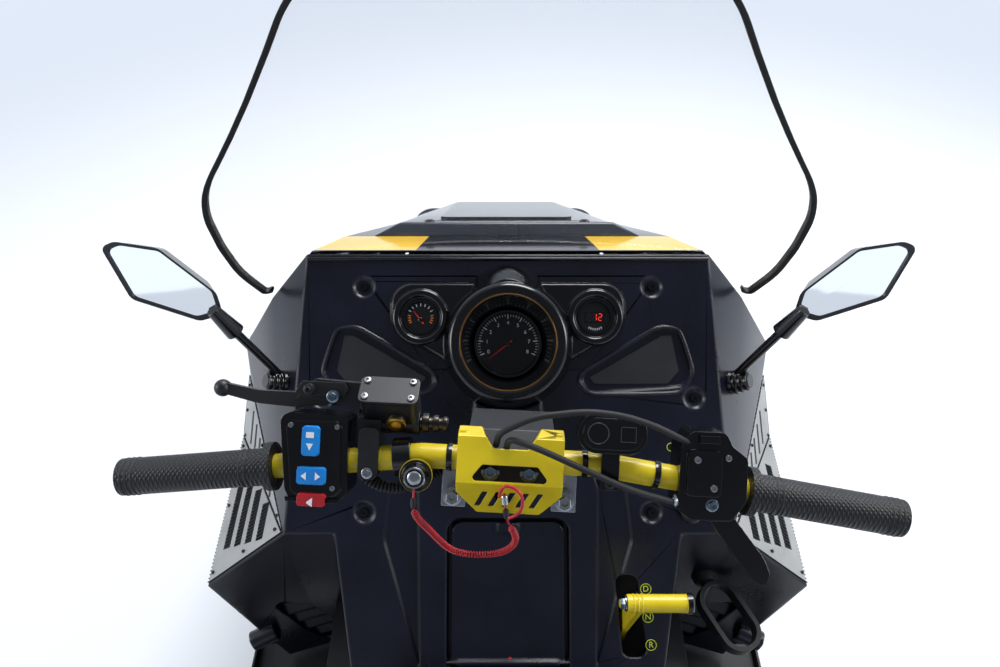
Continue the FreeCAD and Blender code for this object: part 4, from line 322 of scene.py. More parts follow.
hood_peel = add_node(tree, "ShaderNodeTexNoise", None, {
    "Vector": add_node(tree, "ShaderNodeTexCoord").outputs["Object"], "Scale": 1 / (PEEL_MM * MM)})
hood_relief = add_node(tree, "ShaderNodeBump", None, {
    "Height": hood_peel.outputs["Fac"], "Distance": 0.02 * MM, "Strength": 0.4})
tree.links.new(paint_mix.outputs["Result"], shader.inputs["Base Color"])
tree.links.new(hood_relief.outputs["Normal"], shader.inputs["Normal"])
shader.inputs["Roughness"].default_value = 0.16
shader.inputs["Coat Weight"].default_value = 0.5
shader.inputs["Coat Roughness"].default_value = 0.05

# %% [markdown]
# The red curly lanyard joins the stop switch to the rider's cord loop on the
# cover. The cords come first. The route is a smooth line through given
# points. The line is read back from its NURBS spline and a helix is wound
# about it, so that the turns follow the sag of the cord.

# %% The line of a route


def nurbs_curve(name, points, fine, closed=False):
    """A curve with one smooth NURBS spline that has these control points."""
    curve = bpy.data.curves.new(name, "CURVE")
    curve.dimensions = "3D"
    curve.resolution_u = fine
    spline = curve.splines.new("NURBS")
    spline.points.add(len(points) - 1)
    for knot, point in zip(spline.points, points):
        knot.co = (*point, 1)
    spline.order_u = 3
    spline.use_cyclic_u = closed
    spline.use_endpoint_u = not closed
    return bpy.data.objects.new(name, curve)


def route_line(points):
    """The smooth line of a route, read from its NURBS spline."""
    holder = nurbs_curve("route", points, 16)
    mesh = bpy.data.meshes.new_from_object(holder)
    line = [vertex.co.copy() for vertex in mesh.vertices]
    bpy.data.meshes.remove(mesh)
    bpy.data.objects.remove(holder)
    return line


def spread(line, step):
    """Points an even step apart along a line."""
    found = [line[0]]
    left = step
    for start, end in zip(line, line[1:]):
        run = (end - start).length
        while run > left:
            start = start.lerp(end, left / run)
            found.append(start)
            run -= left
            left = step
        left -= run
    return found


def tube_curve(name, points, radius, finish):
    """A smooth round tube along a NURBS spline with these control points."""
    made = nurbs_curve(name, points, 3)
    made.data.bevel_depth = radius
    made.data.bevel_resolution = 3
    made.data.use_fill_caps = True
    made.data.materials.append(finish)
    bpy.context.scene.collection.objects.link(made)
    return made


# %% [markdown]
# The cord is 2 mm thick and wound with 5.2 mm across its centre line. It runs
# plain for a few centimetres at each end, where the coil swells up within
# 8 mm. A plain stretch needs only a point every second turn.

# %% The curly lanyard
LANYARD = [
    (-82, 132, 1124), (-84, 128, 1103), (-84, 131, 1081), (-81, 136, 1058), (-75, 141, 1035),
    (-69, 145, 1012), (-61, 147, 991), (-52, 149, 976), (-38, 151, 967), (-22, 152, 966), (-7, 151, 973),
    (3, 149, 987), (9, 146, 1007), (9, 141, 1031), (5, 135, 1055), (1, 128, 1078), (-1, 122, 1100),
    (-4, 132, 1123)]
CORD_THICK = 2.0
COIL_RADIUS = 2.6
COIL_PITCH = 3.1
TURN_POINTS = 12
PLAIN_START, PLAIN_END, SWELL_WITHIN = 34, 62, 8
PLAIN_POINTS = 24
lanyard_line = spread(
    route_line([steered @ (Vector(point) * MM) for point in LANYARD]), COIL_PITCH / TURN_POINTS * MM)
last = len(lanyard_line) - 1
helix = []
across_cord = Vector((0, 1, 0))
for number, spot in enumerate(lanyard_line):
    ahead = (lanyard_line[min(number + 1, last)] - lanyard_line[max(number - 1, 0)]).normalized()
    across_cord = (across_cord - ahead * across_cord.dot(ahead)).normalized()
    other = ahead.cross(across_cord)
    from_start, to_end = number * COIL_PITCH / TURN_POINTS, (last - number) * COIL_PITCH / TURN_POINTS
    swell = max(0.0, min((from_start - PLAIN_START) / SWELL_WITHIN,
                         (to_end - PLAIN_END) / SWELL_WITHIN, 1.0))
    if swell == 0.0 and number % PLAIN_POINTS and number != last:
        continue
    angle = 2 * math.pi * number / TURN_POINTS
    offset = across_cord * math.cos(angle) + other * math.sin(angle)
    helix.append(spot + offset * (COIL_RADIUS * swell * MM))
lanyard = tube_curve("lanyard_cord", helix, CORD_THICK / 2 * MM, lanyard_red)
unwound = route_line(helix)
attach(lanyard, "steering")
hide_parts("lanyard")

# %% [markdown]
# The steel and plastic parts come from the construction with knife-sharp
# edges, but a real moulding has small round ones that catch the light. Each is
# copied, its loose triangles are merged, its flat faces are joined again, and a
# bevel rounds its edges. The copy then stands for the construction's piece.
# The console keeps its triangles: one of its flat faces goes all round the
# lid's opening, and joining it would lay a face across the opening.

# %% Selecting, rounding and painting
SMOOTH_BELOW = math.radians(38)
FLAT_WITHIN = math.radians(0.6)
MERGE_WITHIN = 0.02 * MM
FACES_AROUND_A_HOLE = ("dash_console",)


def only(thing):
    """Select one object alone and make it the active one."""
    bpy.ops.object.select_all(action="DESELECT")
    thing.select_set(True)
    bpy.context.view_layer.objects.active = thing


def softened(thing, width, angle=32, steps=2):
    """Round a piece's edges by a bevel in millimetres, then shade it smooth."""
    only(thing)
    if width:
        rounding = thing.modifiers.new("rounding", "BEVEL")
        rounding.width = width * MM
        rounding.segments = steps
        rounding.limit_method = "ANGLE"
        rounding.angle_limit = math.radians(angle)
        rounding.use_clamp_overlap = False
        bpy.ops.object.modifier_apply(modifier=rounding.name)
    bpy.ops.object.shade_smooth_by_angle(angle=SMOOTH_BELOW)
    if width:
        evening = thing.modifiers.new("even_shading", "WEIGHTED_NORMAL")
        evening.keep_sharp = True
        bpy.ops.object.modifier_apply(modifier=evening.name)


def merged_copy(label, name, join_faces):
    """A copy of a piece of the construction with its loose triangles merged."""
    made = bpy.data.objects.new(name, nodes[label].data.copy())
    bpy.context.scene.collection.objects.link(made)
    only(made)
    bpy.ops.mesh.customdata_custom_splitnormals_clear()
    bpy.ops.object.mode_set(mode="EDIT")
    bpy.ops.mesh.select_all(action="SELECT")
    bpy.ops.mesh.remove_doubles(threshold=MERGE_WITHIN)
    if join_faces:
        bpy.ops.mesh.dissolve_limited(angle_limit=FLAT_WITHIN)
    bpy.ops.object.mode_set(mode="OBJECT")
    return made


def rounded_copy(label, width, finish):
    """A rounded copy of a piece, which then stands for it."""
    made = merged_copy(label, label + "_finished", width > 0 and label not in FACES_AROUND_A_HOLE)
    softened(made, width)
    made.data.materials.clear()
    made.data.materials.append(finish)
    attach(made, body_of(nodes[label])[0])
    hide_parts(label)
    return made


def paint(thing, finish, test, place=Matrix.Identity(4)):
    """Give a finish to the faces whose middle, in millimetres in a frame, passes a test."""
    back = place.inverted()
    thing.data.materials.append(finish)
    slot_number = len(thing.data.materials) - 1
    changed = 0
    for face in thing.data.polygons:
        if test(*(back @ face.center / MM)):
            face.material_index = slot_number
            changed += 1
    print(f"{thing.name}: {changed} faces painted {finish.name}")


# %% [markdown]
# What each piece is made of, and how round its edges are, in one table. Small
# die-cast and moulded controls have edges of about a millimetre, the large
# mouldings of the body two or more, and sheet metal hardly any.

# %% Round and finish every rigid piece
PIECES = {
    "tunnel": (tunnel_metal, 0.8), "footboards": (tunnel_metal, 0.6), "front_frame": (powder_black, 0.6),
    "engine_block": (cast_metal, 3.0), "front_bumper": (powder_black, 0.0), "belly_pan": (moulded_abs, 1.5),
    "dash_console": (moulded_abs, 1.8), "storage_bin": (moulded_abs, 1.0),
    "side_grilles": (grille_grey, 0.4), "instrument_pod": (gloss_abs, 1.0), "gauge_dials": (dial_black, 0.0),
    "mirror_right": (gloss_abs, 1.0), "mirror_left": (gloss_abs, 1.0), "gear_lever": (powder_yellow, 0.8),
    "starter_handle": (handle_rubber, 0.8), "track_wheels": (slide_plastic, 0.8), "drive_axle": (steel, 0.0),
    "slide_rails": (slide_plastic, 0.8), "suspension_arms": (powder_black, 0.4),
    "seat_base": (moulded_abs, 2.0), "luggage_rack": (powder_black, 0.5), "rear_bumper": (powder_black, 0.0),
    "tow_hitch": (powder_black, 0.6), "snow_flap": (handle_rubber, 0.8), "tail_lamp": (red_lens, 1.0),
    "hood": (hood_paint, 1.6), "windshield_trim": (handle_rubber, 1.5),
    "steering_column": (powder_black, 0.8), "handlebar": (powder_yellow, 0.0), "grips": (grip_rubber, 0.8),
    "riser_cover": (powder_yellow, 0.9), "switch_housing": (gloss_abs, 1.0),
    "brake_lever": (powder_black, 0.7), "throttle": (gloss_abs, 0.9), "accessory_pod": (gloss_abs, 0.8),
    "stop_switch": (gloss_abs, 0.6), "control_cables": (handle_rubber, 0.0),
    "strut_left": (powder_black, 0.6), "strut_right": (powder_black, 0.6),
    "ski_left": (ski_plastic, 1.2), "ski_right": (ski_plastic, 1.2),
    "tie_rod_left": (steel, 0.4), "tie_rod_right": (steel, 0.4),
}
made_of = {label: rounded_copy(label, width, finish) for label, (finish, width) in PIECES.items()}
AS_BUILT = {"track": track_rubber, "storage_lid": moulded_abs, "seat_cushion": seat_vinyl,
            "backrest": seat_vinyl, "headlamps": lens_clear, "windshield": pane_clear}
for label, finish in AS_BUILT.items():
    nodes[label].data.materials.clear()
    nodes[label].data.materials.append(finish)
rounded_faces = sum(len(piece.data.polygons) for piece in made_of.values())
print(len(made_of), "pieces rounded with", rounded_faces, "faces")

# %% [markdown]
# The small pieces are made from four plain starts: a plate that is cut to an
# outline and raised, a round piece that grows ring by ring from its foot, an
# open ring that is spun from its section, and a few letters. Each is modelled
# flat at the origin in millimetres and then carried to its place by its matrix,
# so the finished object stays at the origin.

# %% Small pieces


def circle_start(name, corners, radius, fill):
    """The circle that a small piece starts from, with nothing else selected."""
    bpy.ops.object.select_all(action="DESELECT")
    bpy.ops.mesh.primitive_circle_add(vertices=corners, radius=radius, fill_type=fill)
    made = bpy.context.object
    made.name = name
    return made


def carried(made, edge, finish, place):
    """Leave edit mode with all faces outward, soften the piece, finish it and carry it to its place."""
    bpy.ops.mesh.select_all(action="SELECT")
    bpy.ops.mesh.normals_make_consistent(inside=False)
    bpy.ops.object.mode_set(mode="OBJECT")
    softened(made, edge)
    made.data.materials.append(finish)
    made.data.transform(place)
    return made


def plate(name, outline, thick, finish, place, edge=0.0):
    """A plate cut to an outline and raised by its thickness."""
    made = circle_start(name, len(outline), 1, "NGON")
    for corner, (across, along) in zip(made.data.vertices, outline):
        corner.co = Vector((across, along, 0)) * MM
    bpy.ops.object.mode_set(mode="EDIT")
    bpy.ops.mesh.select_all(action="SELECT")
    bpy.ops.mesh.extrude_region_move(TRANSFORM_OT_translate={"value": (0, 0, thick * MM)})
    return carried(made, edge, finish, place)


def turned_piece(name, profile, finish, place, sides=36, edge=0.0):
    """A round piece from steps of radius and height in millimetres, from its foot up."""
    (radius, low), *steps = profile
    made = circle_start(name, sides, radius * MM, "NGON")
    bpy.ops.object.mode_set(mode="EDIT")
    bpy.ops.mesh.select_all(action="SELECT")
    bpy.ops.transform.translate(value=(0, 0, low * MM))
    for next_radius, height in steps:
        bpy.ops.mesh.extrude_region_move(TRANSFORM_OT_translate={"value": (0, 0, (height - low) * MM)})
        share = next_radius / radius
        bpy.ops.transform.resize(value=(share, share, 1), center_override=(0, 0, height * MM))
        radius, low = next_radius, height
    return carried(made, edge, finish, place)


def ring_piece(name, section, finish, place, sides=64):
    """An open ring: a closed section of radius and height in millimetres, spun about its axis."""
    made = circle_start(name, len(section), 1, "NOTHING")
    for corner, (radius, height) in zip(made.data.vertices, section):
        corner.co = Vector((radius, 0, height)) * MM
    bpy.ops.object.mode_set(mode="EDIT")
    bpy.ops.mesh.select_all(action="SELECT")
    bpy.ops.mesh.spin(steps=sides, angle=2 * math.pi, center=(0, 0, 0), axis=(0, 0, 1))
    bpy.ops.mesh.select_all(action="SELECT")
    bpy.ops.mesh.remove_doubles(threshold=0.01 * MM)
    return carried(made, 0, finish, place)


SIZE_OF_HEIGHT = 1.4
PRINT_HALF = 0.25


def lettering(name, words, height, finish, place):
    """A few generic letters or numbers, middle on the origin, as high as their capitals."""
    bpy.ops.object.select_all(action="DESELECT")
    bpy.ops.object.text_add()
    made = bpy.context.object
    made.name = name
    made.data.body = words
    made.data.size = height * MM * SIZE_OF_HEIGHT
    made.data.extrude = PRINT_HALF * MM
    made.data.align_x = "CENTER"
    made.data.align_y = "CENTER"
    bpy.ops.object.convert(target="MESH")
    made = bpy.context.object
    made.data.materials.append(finish)
    made.data.transform(place)
    return made


def again(thing, name, move):
    """Another of the same piece, with a mesh of its own, moved by a matrix."""
    made = thing.copy()
    made.data = thing.data.copy()
    made.name = name
    bpy.context.scene.collection.objects.link(made)
    made.data.transform(move)
    return made


def joined(name, parts, body):
    """One piece from several, riding on a body."""
    only(parts[0])
    for part in parts[1:]:
        part.select_set(True)
    bpy.ops.object.join()
    made = bpy.context.object
    made.name = name
    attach(made, body)
    return made


def round_section(middle, height, radius, corners=8):
    """The section of a round bead at a radius and height."""
    turns = [2 * math.pi * number / corners for number in range(corners)]
    return [(middle + radius * math.cos(turn), height + radius * math.sin(turn)) for turn in turns]


# %% [markdown]
# A dial is printed: fine ticks, a few numbers and a lacquered needle on a black
# face. Ticks are drawn as real thin plates, because at this size they are what
# tells the eye that the instrument is an instrument. One tick is made and the
# rest are turned copies of it.

# %% Dials


def ring_of_ticks(name, radius, count, first, last_angle, size, finish, place):
    """Ticks on an arc, from one angle to another, measured from straight up."""
    wide, long = size
    mark = plate(name, [(-wide / 2, 0), (wide / 2, 0), (wide / 2, long), (-wide / 2, long)], 0.3, finish,
                 at(0, radius))
    marks = []
    for number in range(count):
        angle = first + (last_angle - first) * number / (count - 1)
        marks.append(again(mark, f"{name}_{number}", place @ lean(-angle, "Z")))
    bpy.data.objects.remove(mark)
    return marks


def needle(name, long, angle, place):
    """A tapered needle on a round black hub."""
    blade = plate(name, [(-1.1, -7), (1.1, -7), (0.9, 0), (0.25, long), (-0.25, long), (-0.9, 0)], 0.6,
                  needle_red, place @ lean(-angle, "Z") @ at(0, 0, 1.0))
    hub = turned_piece(name + "_hub", [(3.6, 0), (3.6, 1.6), (2.8, 2.2), (1.0, 2.4)],
                       gloss_abs, place, sides=24)
    return [blade, hub]


SWEEP, NUMBER_STEP, NUMBERS_AT = 112, 28, 29
SMALL_DIALS = 122, 38
main_face = on_dash @ at(0, 0, 20.05)
left_face = on_dash @ at(-SMALL_DIALS[0], SMALL_DIALS[1], 9.05)
right_face = on_dash @ at(SMALL_DIALS[0], SMALL_DIALS[1], 9.05)
marks = ring_of_ticks("main_tick", 35, 9, -SWEEP, SWEEP, (1.3, 6), print_white, main_face)
marks += ring_of_ticks("main_fine_tick", 38, 41, -SWEEP, SWEEP, (0.6, 3), print_white, main_face)
for number in range(9):
    angle = math.radians(-SWEEP + NUMBER_STEP * number)
    marks.append(lettering(f"main_number_{number}", str(number), 5.2, print_white,
                           main_face @ at(NUMBERS_AT * math.sin(angle), NUMBERS_AT * math.cos(angle))))
marks += needle("main_needle", 33, -128, main_face)
joined("main_dial_print", marks, "root")
marks = ring_of_ticks("left_tick", 15.5, 7, -60, 60, (0.9, 4), print_white, left_face)
marks += ring_of_ticks("left_mark_a", 14, 4, -118, -82, (1.2, 4), mark_orange, left_face)
marks += ring_of_ticks("left_mark_b", 14, 4, 82, 118, (1.2, 4), mark_orange, left_face)
marks += needle("left_needle", 16, -38, left_face @ at(0, -4))
joined("left_dial_print", marks, "root")

# %% [markdown]
# The right-hand instrument is a small numeric display. Each figure has seven
# bars; the ones that are off still show as dim ghosts under the red window.

# %% Seven-bar figures
BARS = {"top": (0, 1, 0), "upper_left": (-0.5, 0.5, 90), "upper_right": (0.5, 0.5, 90), "middle": (0, 0, 0),
        "lower_left": (-0.5, -0.5, 90), "lower_right": (0.5, -0.5, 90), "bottom": (0, -1, 0)}
LIT = {"1": ("upper_right", "lower_right"), " ": (),
       "2": ("top", "upper_right", "middle", "lower_left", "bottom")}
BAR_LONG, BAR_HALF = 4.6, 0.55
FIRST_FIGURE, FIGURE_STEP = -8, 7.5
ghost_red = grained("unlit_display", "2a0f10", "230c0d", 15, 0.5, 0.01, (0.4, 0.5))
bars = [plate("display_window", [(-15, -8), (15, -8), (15, 8), (-15, 8)], 0.5, gloss_abs, right_face,
              edge=0.2)]
half = BAR_LONG / 2
bar_outline = [(-half + 0.4, 0), (-half + 1, BAR_HALF), (half - 1, BAR_HALF), (half - 0.4, 0),
               (half - 1, -BAR_HALF), (-half + 1, -BAR_HALF)]
for place_number, figure in enumerate(" 12"):
    middle = right_face @ at(FIRST_FIGURE + FIGURE_STEP * place_number, 0, 0.5)
    for bar_name, (across, up, angle) in BARS.items():
        lit = bar_name in LIT[figure]
        bars.append(plate(
            f"figure_{place_number}_{bar_name}", bar_outline, 0.3, led_red if lit else ghost_red,
            middle @ at(across * BAR_LONG, up * BAR_LONG) @ lean(angle, "Z")))
bars += ring_of_ticks("right_tick", 15.5, 7, 150, 210, (0.9, 3), print_white, right_face)
joined("right_dial_display", bars, "root")

# %% [markdown]
# Each dial sits under a glossy rim, and an amber ring runs round the bore of
# the main one. They are spun from their sections, so they stay open inside.

# %% Rims of the dials
joined("amber_bore_ring",
       [ring_piece("tube_ring", round_section(64, 66.8, 1.1), amber_ring, on_dash, 80)], "root")
joined("dial_rim", [ring_piece("main_rim", [(44, 20), (46.5, 22), (46.5, 24), (43.4, 24), (41.6, 20.2)],
                               gloss_abs, on_dash)], "root")
for side in (-1, 1):
    place = on_dash @ at(side * SMALL_DIALS[0], SMALL_DIALS[1])
    joined(f"small_rim_{side + 2}", [ring_piece(
        "small_rim", [(24.4, 9), (24.4, 12.5), (21.6, 12.5), (20.8, 9.1)], gloss_abs, place, 48)], "root")

# %% [markdown]
# The rockers and the horn are moulded in coloured nylon, the brake's fitting is
# dark zinc, and the glass of a mirror is silvered. These faces are already
# there, on the rounded copies, so they are only given their own finish. The
# hood gets a slot of satin grey too, which none of its faces takes.

# %% Paint faces of the finished pieces
switch = made_of["switch_housing"]
paint(switch, switch_blue, lambda x, y, z: z > 19.4 and y > -29, on_bar)
paint(switch, horn_red, lambda x, y, z: z > 19.4 and y < -31, on_bar)
brake = made_of["brake_lever"]
paint(brake, dark_zinc, lambda x, y, z: x > -84.2 and z < 1145, steered)
for label in ("mirror_right", "mirror_left"):
    mirror = made_of[label]
    glass = max(mirror.data.polygons, key=lambda face: face.area * (face.normal.y < -0.5))
    mirror.data.materials.append(mirror_glass)
    glass.material_index = 1
    print(label, "glass of", round(glass.area, 4), "square metres")
made_of["hood"].data.materials.append(satin_cover)

# %% [markdown]
# The screen's rubber edge runs down both sides and ends at the lower corners,
# where the cowl's shoulders hide it. The construction carries it along the foot
# as well, so on the finished copy that stretch is cut away and the two ends are
# closed. Bisect does both at once on the faces that are selected.

# %% End the screen's rubber at its lower corners
TRIM_ENDS, FOOT_BELOW = 0.347, 1.0
rubber = made_of["windshield_trim"]
for side in (-1, 1):
    only(rubber)
    for face in rubber.data.polygons:
        face.select = face.center.z < FOOT_BELOW and face.center.x * side > 0.0
    bpy.ops.object.mode_set(mode="EDIT")
    bpy.ops.mesh.bisect(plane_co=(side * TRIM_ENDS, 0, 0), plane_no=(side, 0, 0), clear_inner=True,
                        use_fill=True)
    bpy.ops.object.mode_set(mode="OBJECT")
print("rubber edge left with", len(rubber.data.polygons), "faces")

# %% [markdown]
# Behind the yellow corners the hood rises in a low step, dark because its back
# faces the rider. It is a wedge: a plate on the slope of the hood whose front
# edge is let down. A black seal lies in the gap between hood and dash, and the
# dash's top edge is rolled over and catches the light in one long line.

# %% The step in the hood, its seal and the rolled edge
HOOD_SLOPE = -29.3
on_hood = at(0, 702, 935.4) @ lean(HOOD_SLOPE)
STEP_HIGH, STEP_LONG, STEP_FRONT_HIGH = 22, 142, 2.5
NARROWED_FRONT, NARROWED_BACK, BACK_LEANS = 0.97, 0.79, 7
step = plate("hood_step", [(-212, 0), (212, 0), (152, STEP_LONG), (-152, STEP_LONG)], STEP_HIGH,
             moulded_abs, Matrix.Identity(4))
for corner in step.data.vertices:
    if corner.co.z > STEP_HIGH * MM * 0.9:
        front = corner.co.y > STEP_LONG * MM * 0.9
        corner.co.z = STEP_FRONT_HIGH * MM if front else corner.co.z
        corner.co.x *= NARROWED_FRONT if front else NARROWED_BACK
        corner.co.y += 0 if front else BACK_LEANS * MM
softened(step, 3.5, steps=3)
step.data.transform(on_hood)
BUMP = [(8, STEP_HIGH - 8), (8, STEP_HIGH), (6.5, STEP_HIGH + 2.5), (3, STEP_HIGH + 3.4)]
bumps = [turned_piece("step_bump", BUMP, gloss_abs, on_hood @ at(side * 122, 18), sides=24)
         for side in (-1, 1)]
joined("hood_step_whole", [step] + bumps, "hood")
seal = tube_curve("hood_seal", [Vector((x, 601, 974)) * MM for x in (-286, -150, 0, 150, 286)], 9.0 * MM,
                  handle_rubber)
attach(seal, "root")
bead = tube_curve("dash_rolled_edge",
                  [on_dash @ (Vector((x, 121.5, 0.6)) * MM) for x in (-284, -150, 0, 150, 284)],
                  2.6 * MM, gloss_abs)
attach(bead, "root")

# %% [markdown]
# The dash is held by black cap screws in round dishes. Its two slanting fields
# hold a dark film that is left bare, inside a soft raised rim. The rim is a
# closed bead that is sunk into the dash, so only its crest shows.

# %% Screws, bare fields and rims on the dash


def cap_screw(name, radius, place, finish):
    """A cap screw with a round socket."""
    profile = [(radius, 0), (radius, radius * 0.55), (radius * 0.86, radius * 0.8),
               (radius * 0.5, radius * 0.84), (radius * 0.42, radius * 0.3)]
    return turned_piece(name, profile, finish, place, sides=20)


def hex_bolt(name, radius, place, finish):
    """A hexagon bolt on its washer."""
    washer = turned_piece(name + "_washer", [(radius * 1.35, 0), (radius * 1.35, 1.2), (radius * 1.2, 1.5)],
                          finish, place, sides=24)
    head = turned_piece(name, [(radius, 1.4), (radius, radius * 0.9), (radius * 0.88, radius * 1.05),
                               (radius * 0.55, radius * 1.05), (radius * 0.45, radius * 0.6)],
                        finish, place, sides=6)
    return [washer, head]


def closed_bead(name, outline, radius, finish, place):
    """A bead along a closed smooth outline."""
    points = [place @ (Vector((across, along, 0)) * MM) for across, along in outline]
    made = nurbs_curve(name, points, 6, closed=True)
    made.data.bevel_depth = radius * MM
    made.data.bevel_resolution = 2
    made.data.materials.append(finish)
    bpy.context.scene.collection.objects.link(made)
    return made


def along_edges(corners, share=0.12):
    """Two points near each corner of an outline, so that a smooth line rounds it."""
    found = []
    for before, corner, after in zip([corners[-1]] + corners[:-1], corners, corners[1:] + corners[:1]):
        for other in (before, after):
            found.append(tuple(c + (o - c) * share for c, o in zip(corner, other)))
    return found


DASH_SCREWS = [(204, 82), (262, -75), (200, -234)]
screws = [cap_screw("dash_screw", 6, on_dash @ at(side * across, along, -5), gloss_abs)
          for across, along in DASH_SCREWS for side in (-1, 1)]
joined("dash_screws", screws, "root")
FIELD = [(231, 13), (241, -37), (225, -55), (122, -55), (115, -46), (218, 13)]
RIM = [(212, 27), (243, 22), (262, -38), (244, -69), (113, -70), (99, -52), (102, -40)]
FILM_OUT, RIM_OUT, RIM_RADIUS = -3.6, -1.6, 3.4
for side in (-1, 1):
    film = plate(f"bare_field_{side + 2}", [(side * across, along) for across, along in FIELD], 0.5,
                 label_grey, on_dash @ at(0, 0, FILM_OUT), edge=0.2)
    joined(f"bare_field_{side + 2}", [film], "root")
    rim = closed_bead(f"field_rim_{side + 2}",
                      along_edges([(side * across, along) for across, along in RIM]),
                      RIM_RADIUS, moulded_abs, on_dash @ at(0, 0, RIM_OUT))
    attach(rim, "root")

# %% [markdown]
# The gear lever's places are marked D, N and R beside its slot, each in a ring,
# printed in lime. The lever's handle is a yellow sleeve that a plated bolt holds
# from the left, with a black cap on its right end.

# %% Gear marks and the lever's ends
GEARS = {"D": (190.1, -337.7), "N": (192.8, -375.5), "R": (196.5, -413.1)}
marks = []
for letter, (across, along) in GEARS.items():
    spot = on_dash @ at(across, along, 0.1)
    marks.append(lettering(f"gear_{letter}", letter, 8, print_lime, spot @ at(0, 0, 0.2)))
    marks.append(ring_piece(f"gear_ring_{letter}", [(7.6, 0), (7.6, 0.5), (6.8, 0.5), (6.8, 0)],
                            print_lime, spot, 40))
arrow_place = on_dash @ at(188, -356, 0.1)
marks.append(plate("gear_arrow", [(-3, 0), (0, -5), (3, 0)], 0.4, print_lime, arrow_place))
marks.append(plate("gear_bar", [(-1, 0), (1, 0), (1, 9), (-1, 9)], 0.4, print_lime, arrow_place))
marks.append(ring_piece("choke_mark", [(6, 0), (6, 0.5), (5, 0.5), (5, 0)], print_lime,
                        on_dash @ at(227.6, -143.1, 0.1), 40))
joined("gear_marks", marks, "root")
lever_axis = at(144, 175, 795) @ lean(90, "Y")
ends = [turned_piece("lever_cap", [(12.6, 73), (12.6, 79), (11, 80.5), (5, 80.8)], gloss_abs, lever_axis)]
ends += hex_bolt("lever_bolt", 7, at(143, 175, 795) @ lean(-90, "Y"), blue_zinc)
ends += [ring_piece(f"lever_groove_{number}", round_section(11, 8 + 5 * number, 0.9, 6), powder_yellow,
                    lever_axis, 36) for number in range(3)]
joined("lever_ends", ends, "root")

# %% [markdown]
# Three small pieces finish the console: the choke's knob, the plate behind the
# starter's handle, and a red spot near the lower end of the lid.

# %% Choke, starter plate and red spot
KNOB = [(15, 0), (15, 2), (9, 3), (9, 12), (13, 14), (13, 26), (11, 28), (4, 28.6)]
choke = turned_piece("choke_knob", KNOB, moulded_abs, on_dash @ at(250, -232, -4), edge=0.5)
joined("choke_knob_whole", [choke], "root")
disc = turned_piece("starter_plate", [(21, 0), (21, 2), (19, 2.8), (9, 2.8), (9, 2.0)], steel,
                    at(298, 301, 612) @ lean(90), sides=48)
joined("starter_ring", [disc], "root")
spot = turned_piece("lid_spot", [(3, 0), (3, 1.0), (2.2, 1.5)], horn_red, on_dash @ at(2.7, -431, 3),
                    sides=20)
joined("lid_red_spot", [spot], "lid")

# %% [markdown]
# Everything on the handlebar is placed as the rider sees it: so far right, so
# far up and so far out from the bar's middle. Beyond its bends the bar runs
# back and down, and a frame on its centre line carries the rings of the grips
# and the ties that hold the cables.

# %% Grip rings and cable ties
BEND_AT, BEND_TO_END, END_BACK, END_DOWN = 80, 270, 20, 30


def bar_spot(side, across):
    """A frame on the bar's centre line beyond its bend, its Z along the bar."""
    share = (across - BEND_AT) / BEND_TO_END
    spot = Vector((side * across, 168 - END_BACK * share, 1120 - END_DOWN * share)) * MM
    ahead = Vector((side * BEND_TO_END, -END_BACK, -END_DOWN))
    return steered @ Matrix.Translation(spot) @ ahead.to_track_quat("Z", "Y").to_matrix().to_4x4()


GRIP_FROM, RUBBER_RINGS = 226, (10, 15, 114, 119, 124)
ridges = [ring_piece("grip_ridge", round_section(16.2, run, 1.3, 8), handle_rubber,
                     bar_spot(side, GRIP_FROM), 40) for side in (-1, 1) for run in RUBBER_RINGS]
joined("grip_ridges", ridges, "steering")
ties = []
for across in (-57, 64, 128):
    tie_frame = on_bar @ at(across, 0) @ lean(90, "Y") if abs(across) < BEND_AT else bar_spot(1, across)
    ties.append(ring_piece("cable_tie", [(11.2, 0), (12.6, 0), (12.9, 2.5), (12.6, 5), (11.2, 5)],
                           gloss_abs, tie_frame, 40))
joined("cable_ties", ties, "steering")

# %% [markdown]
# The switch housing has printed symbols on its rockers, three screws and a rail
# at its foot. Each symbol is a thin plate, cut to a plain shape.

# %% Details of the switch housing
panel = [plate("switch_rail", [(-197, -44), (-151, -44), (-149, -40), (-198, -40)], 2.2, gloss_abs,
               on_bar @ at(0, 0, 14), edge=0.5)]
ICON = {"beam_box": [(-179, 14), (-172, 14), (-172, 19), (-179, 19)],
        "beam_arrow": [(-178.5, 9), (-172.5, 9), (-175.5, 3)],
        "turn_left": [(-182, -19.5), (-177.5, -16), (-177.5, -23)],
        "turn_right": [(-165, -19.5), (-169.5, -16), (-169.5, -23)],
        "horn_body": [(-176, -42), (-171, -38), (-171, -46), (-176, -43)]}
for label, outline in ICON.items():
    panel.append(plate("icon_" + label, outline, 0.3, print_white, on_bar @ at(0, 0, 24)))
for spot in ((-194, 24), (-153, 24), (-155, -30)):
    panel.append(cap_screw("switch_screw", 2.4, on_bar @ at(*spot, 18.6), steel))
joined("switch_details", panel, "steering")

# %% [markdown]
# The brake's cylinder has a lid with four screws, a brass sight glass to read
# the fluid, clamp and pivot bolts, a lock plate and two ribbed conduits. The
# ribs of a conduit are rings on a smooth line, one every 3.4 mm.

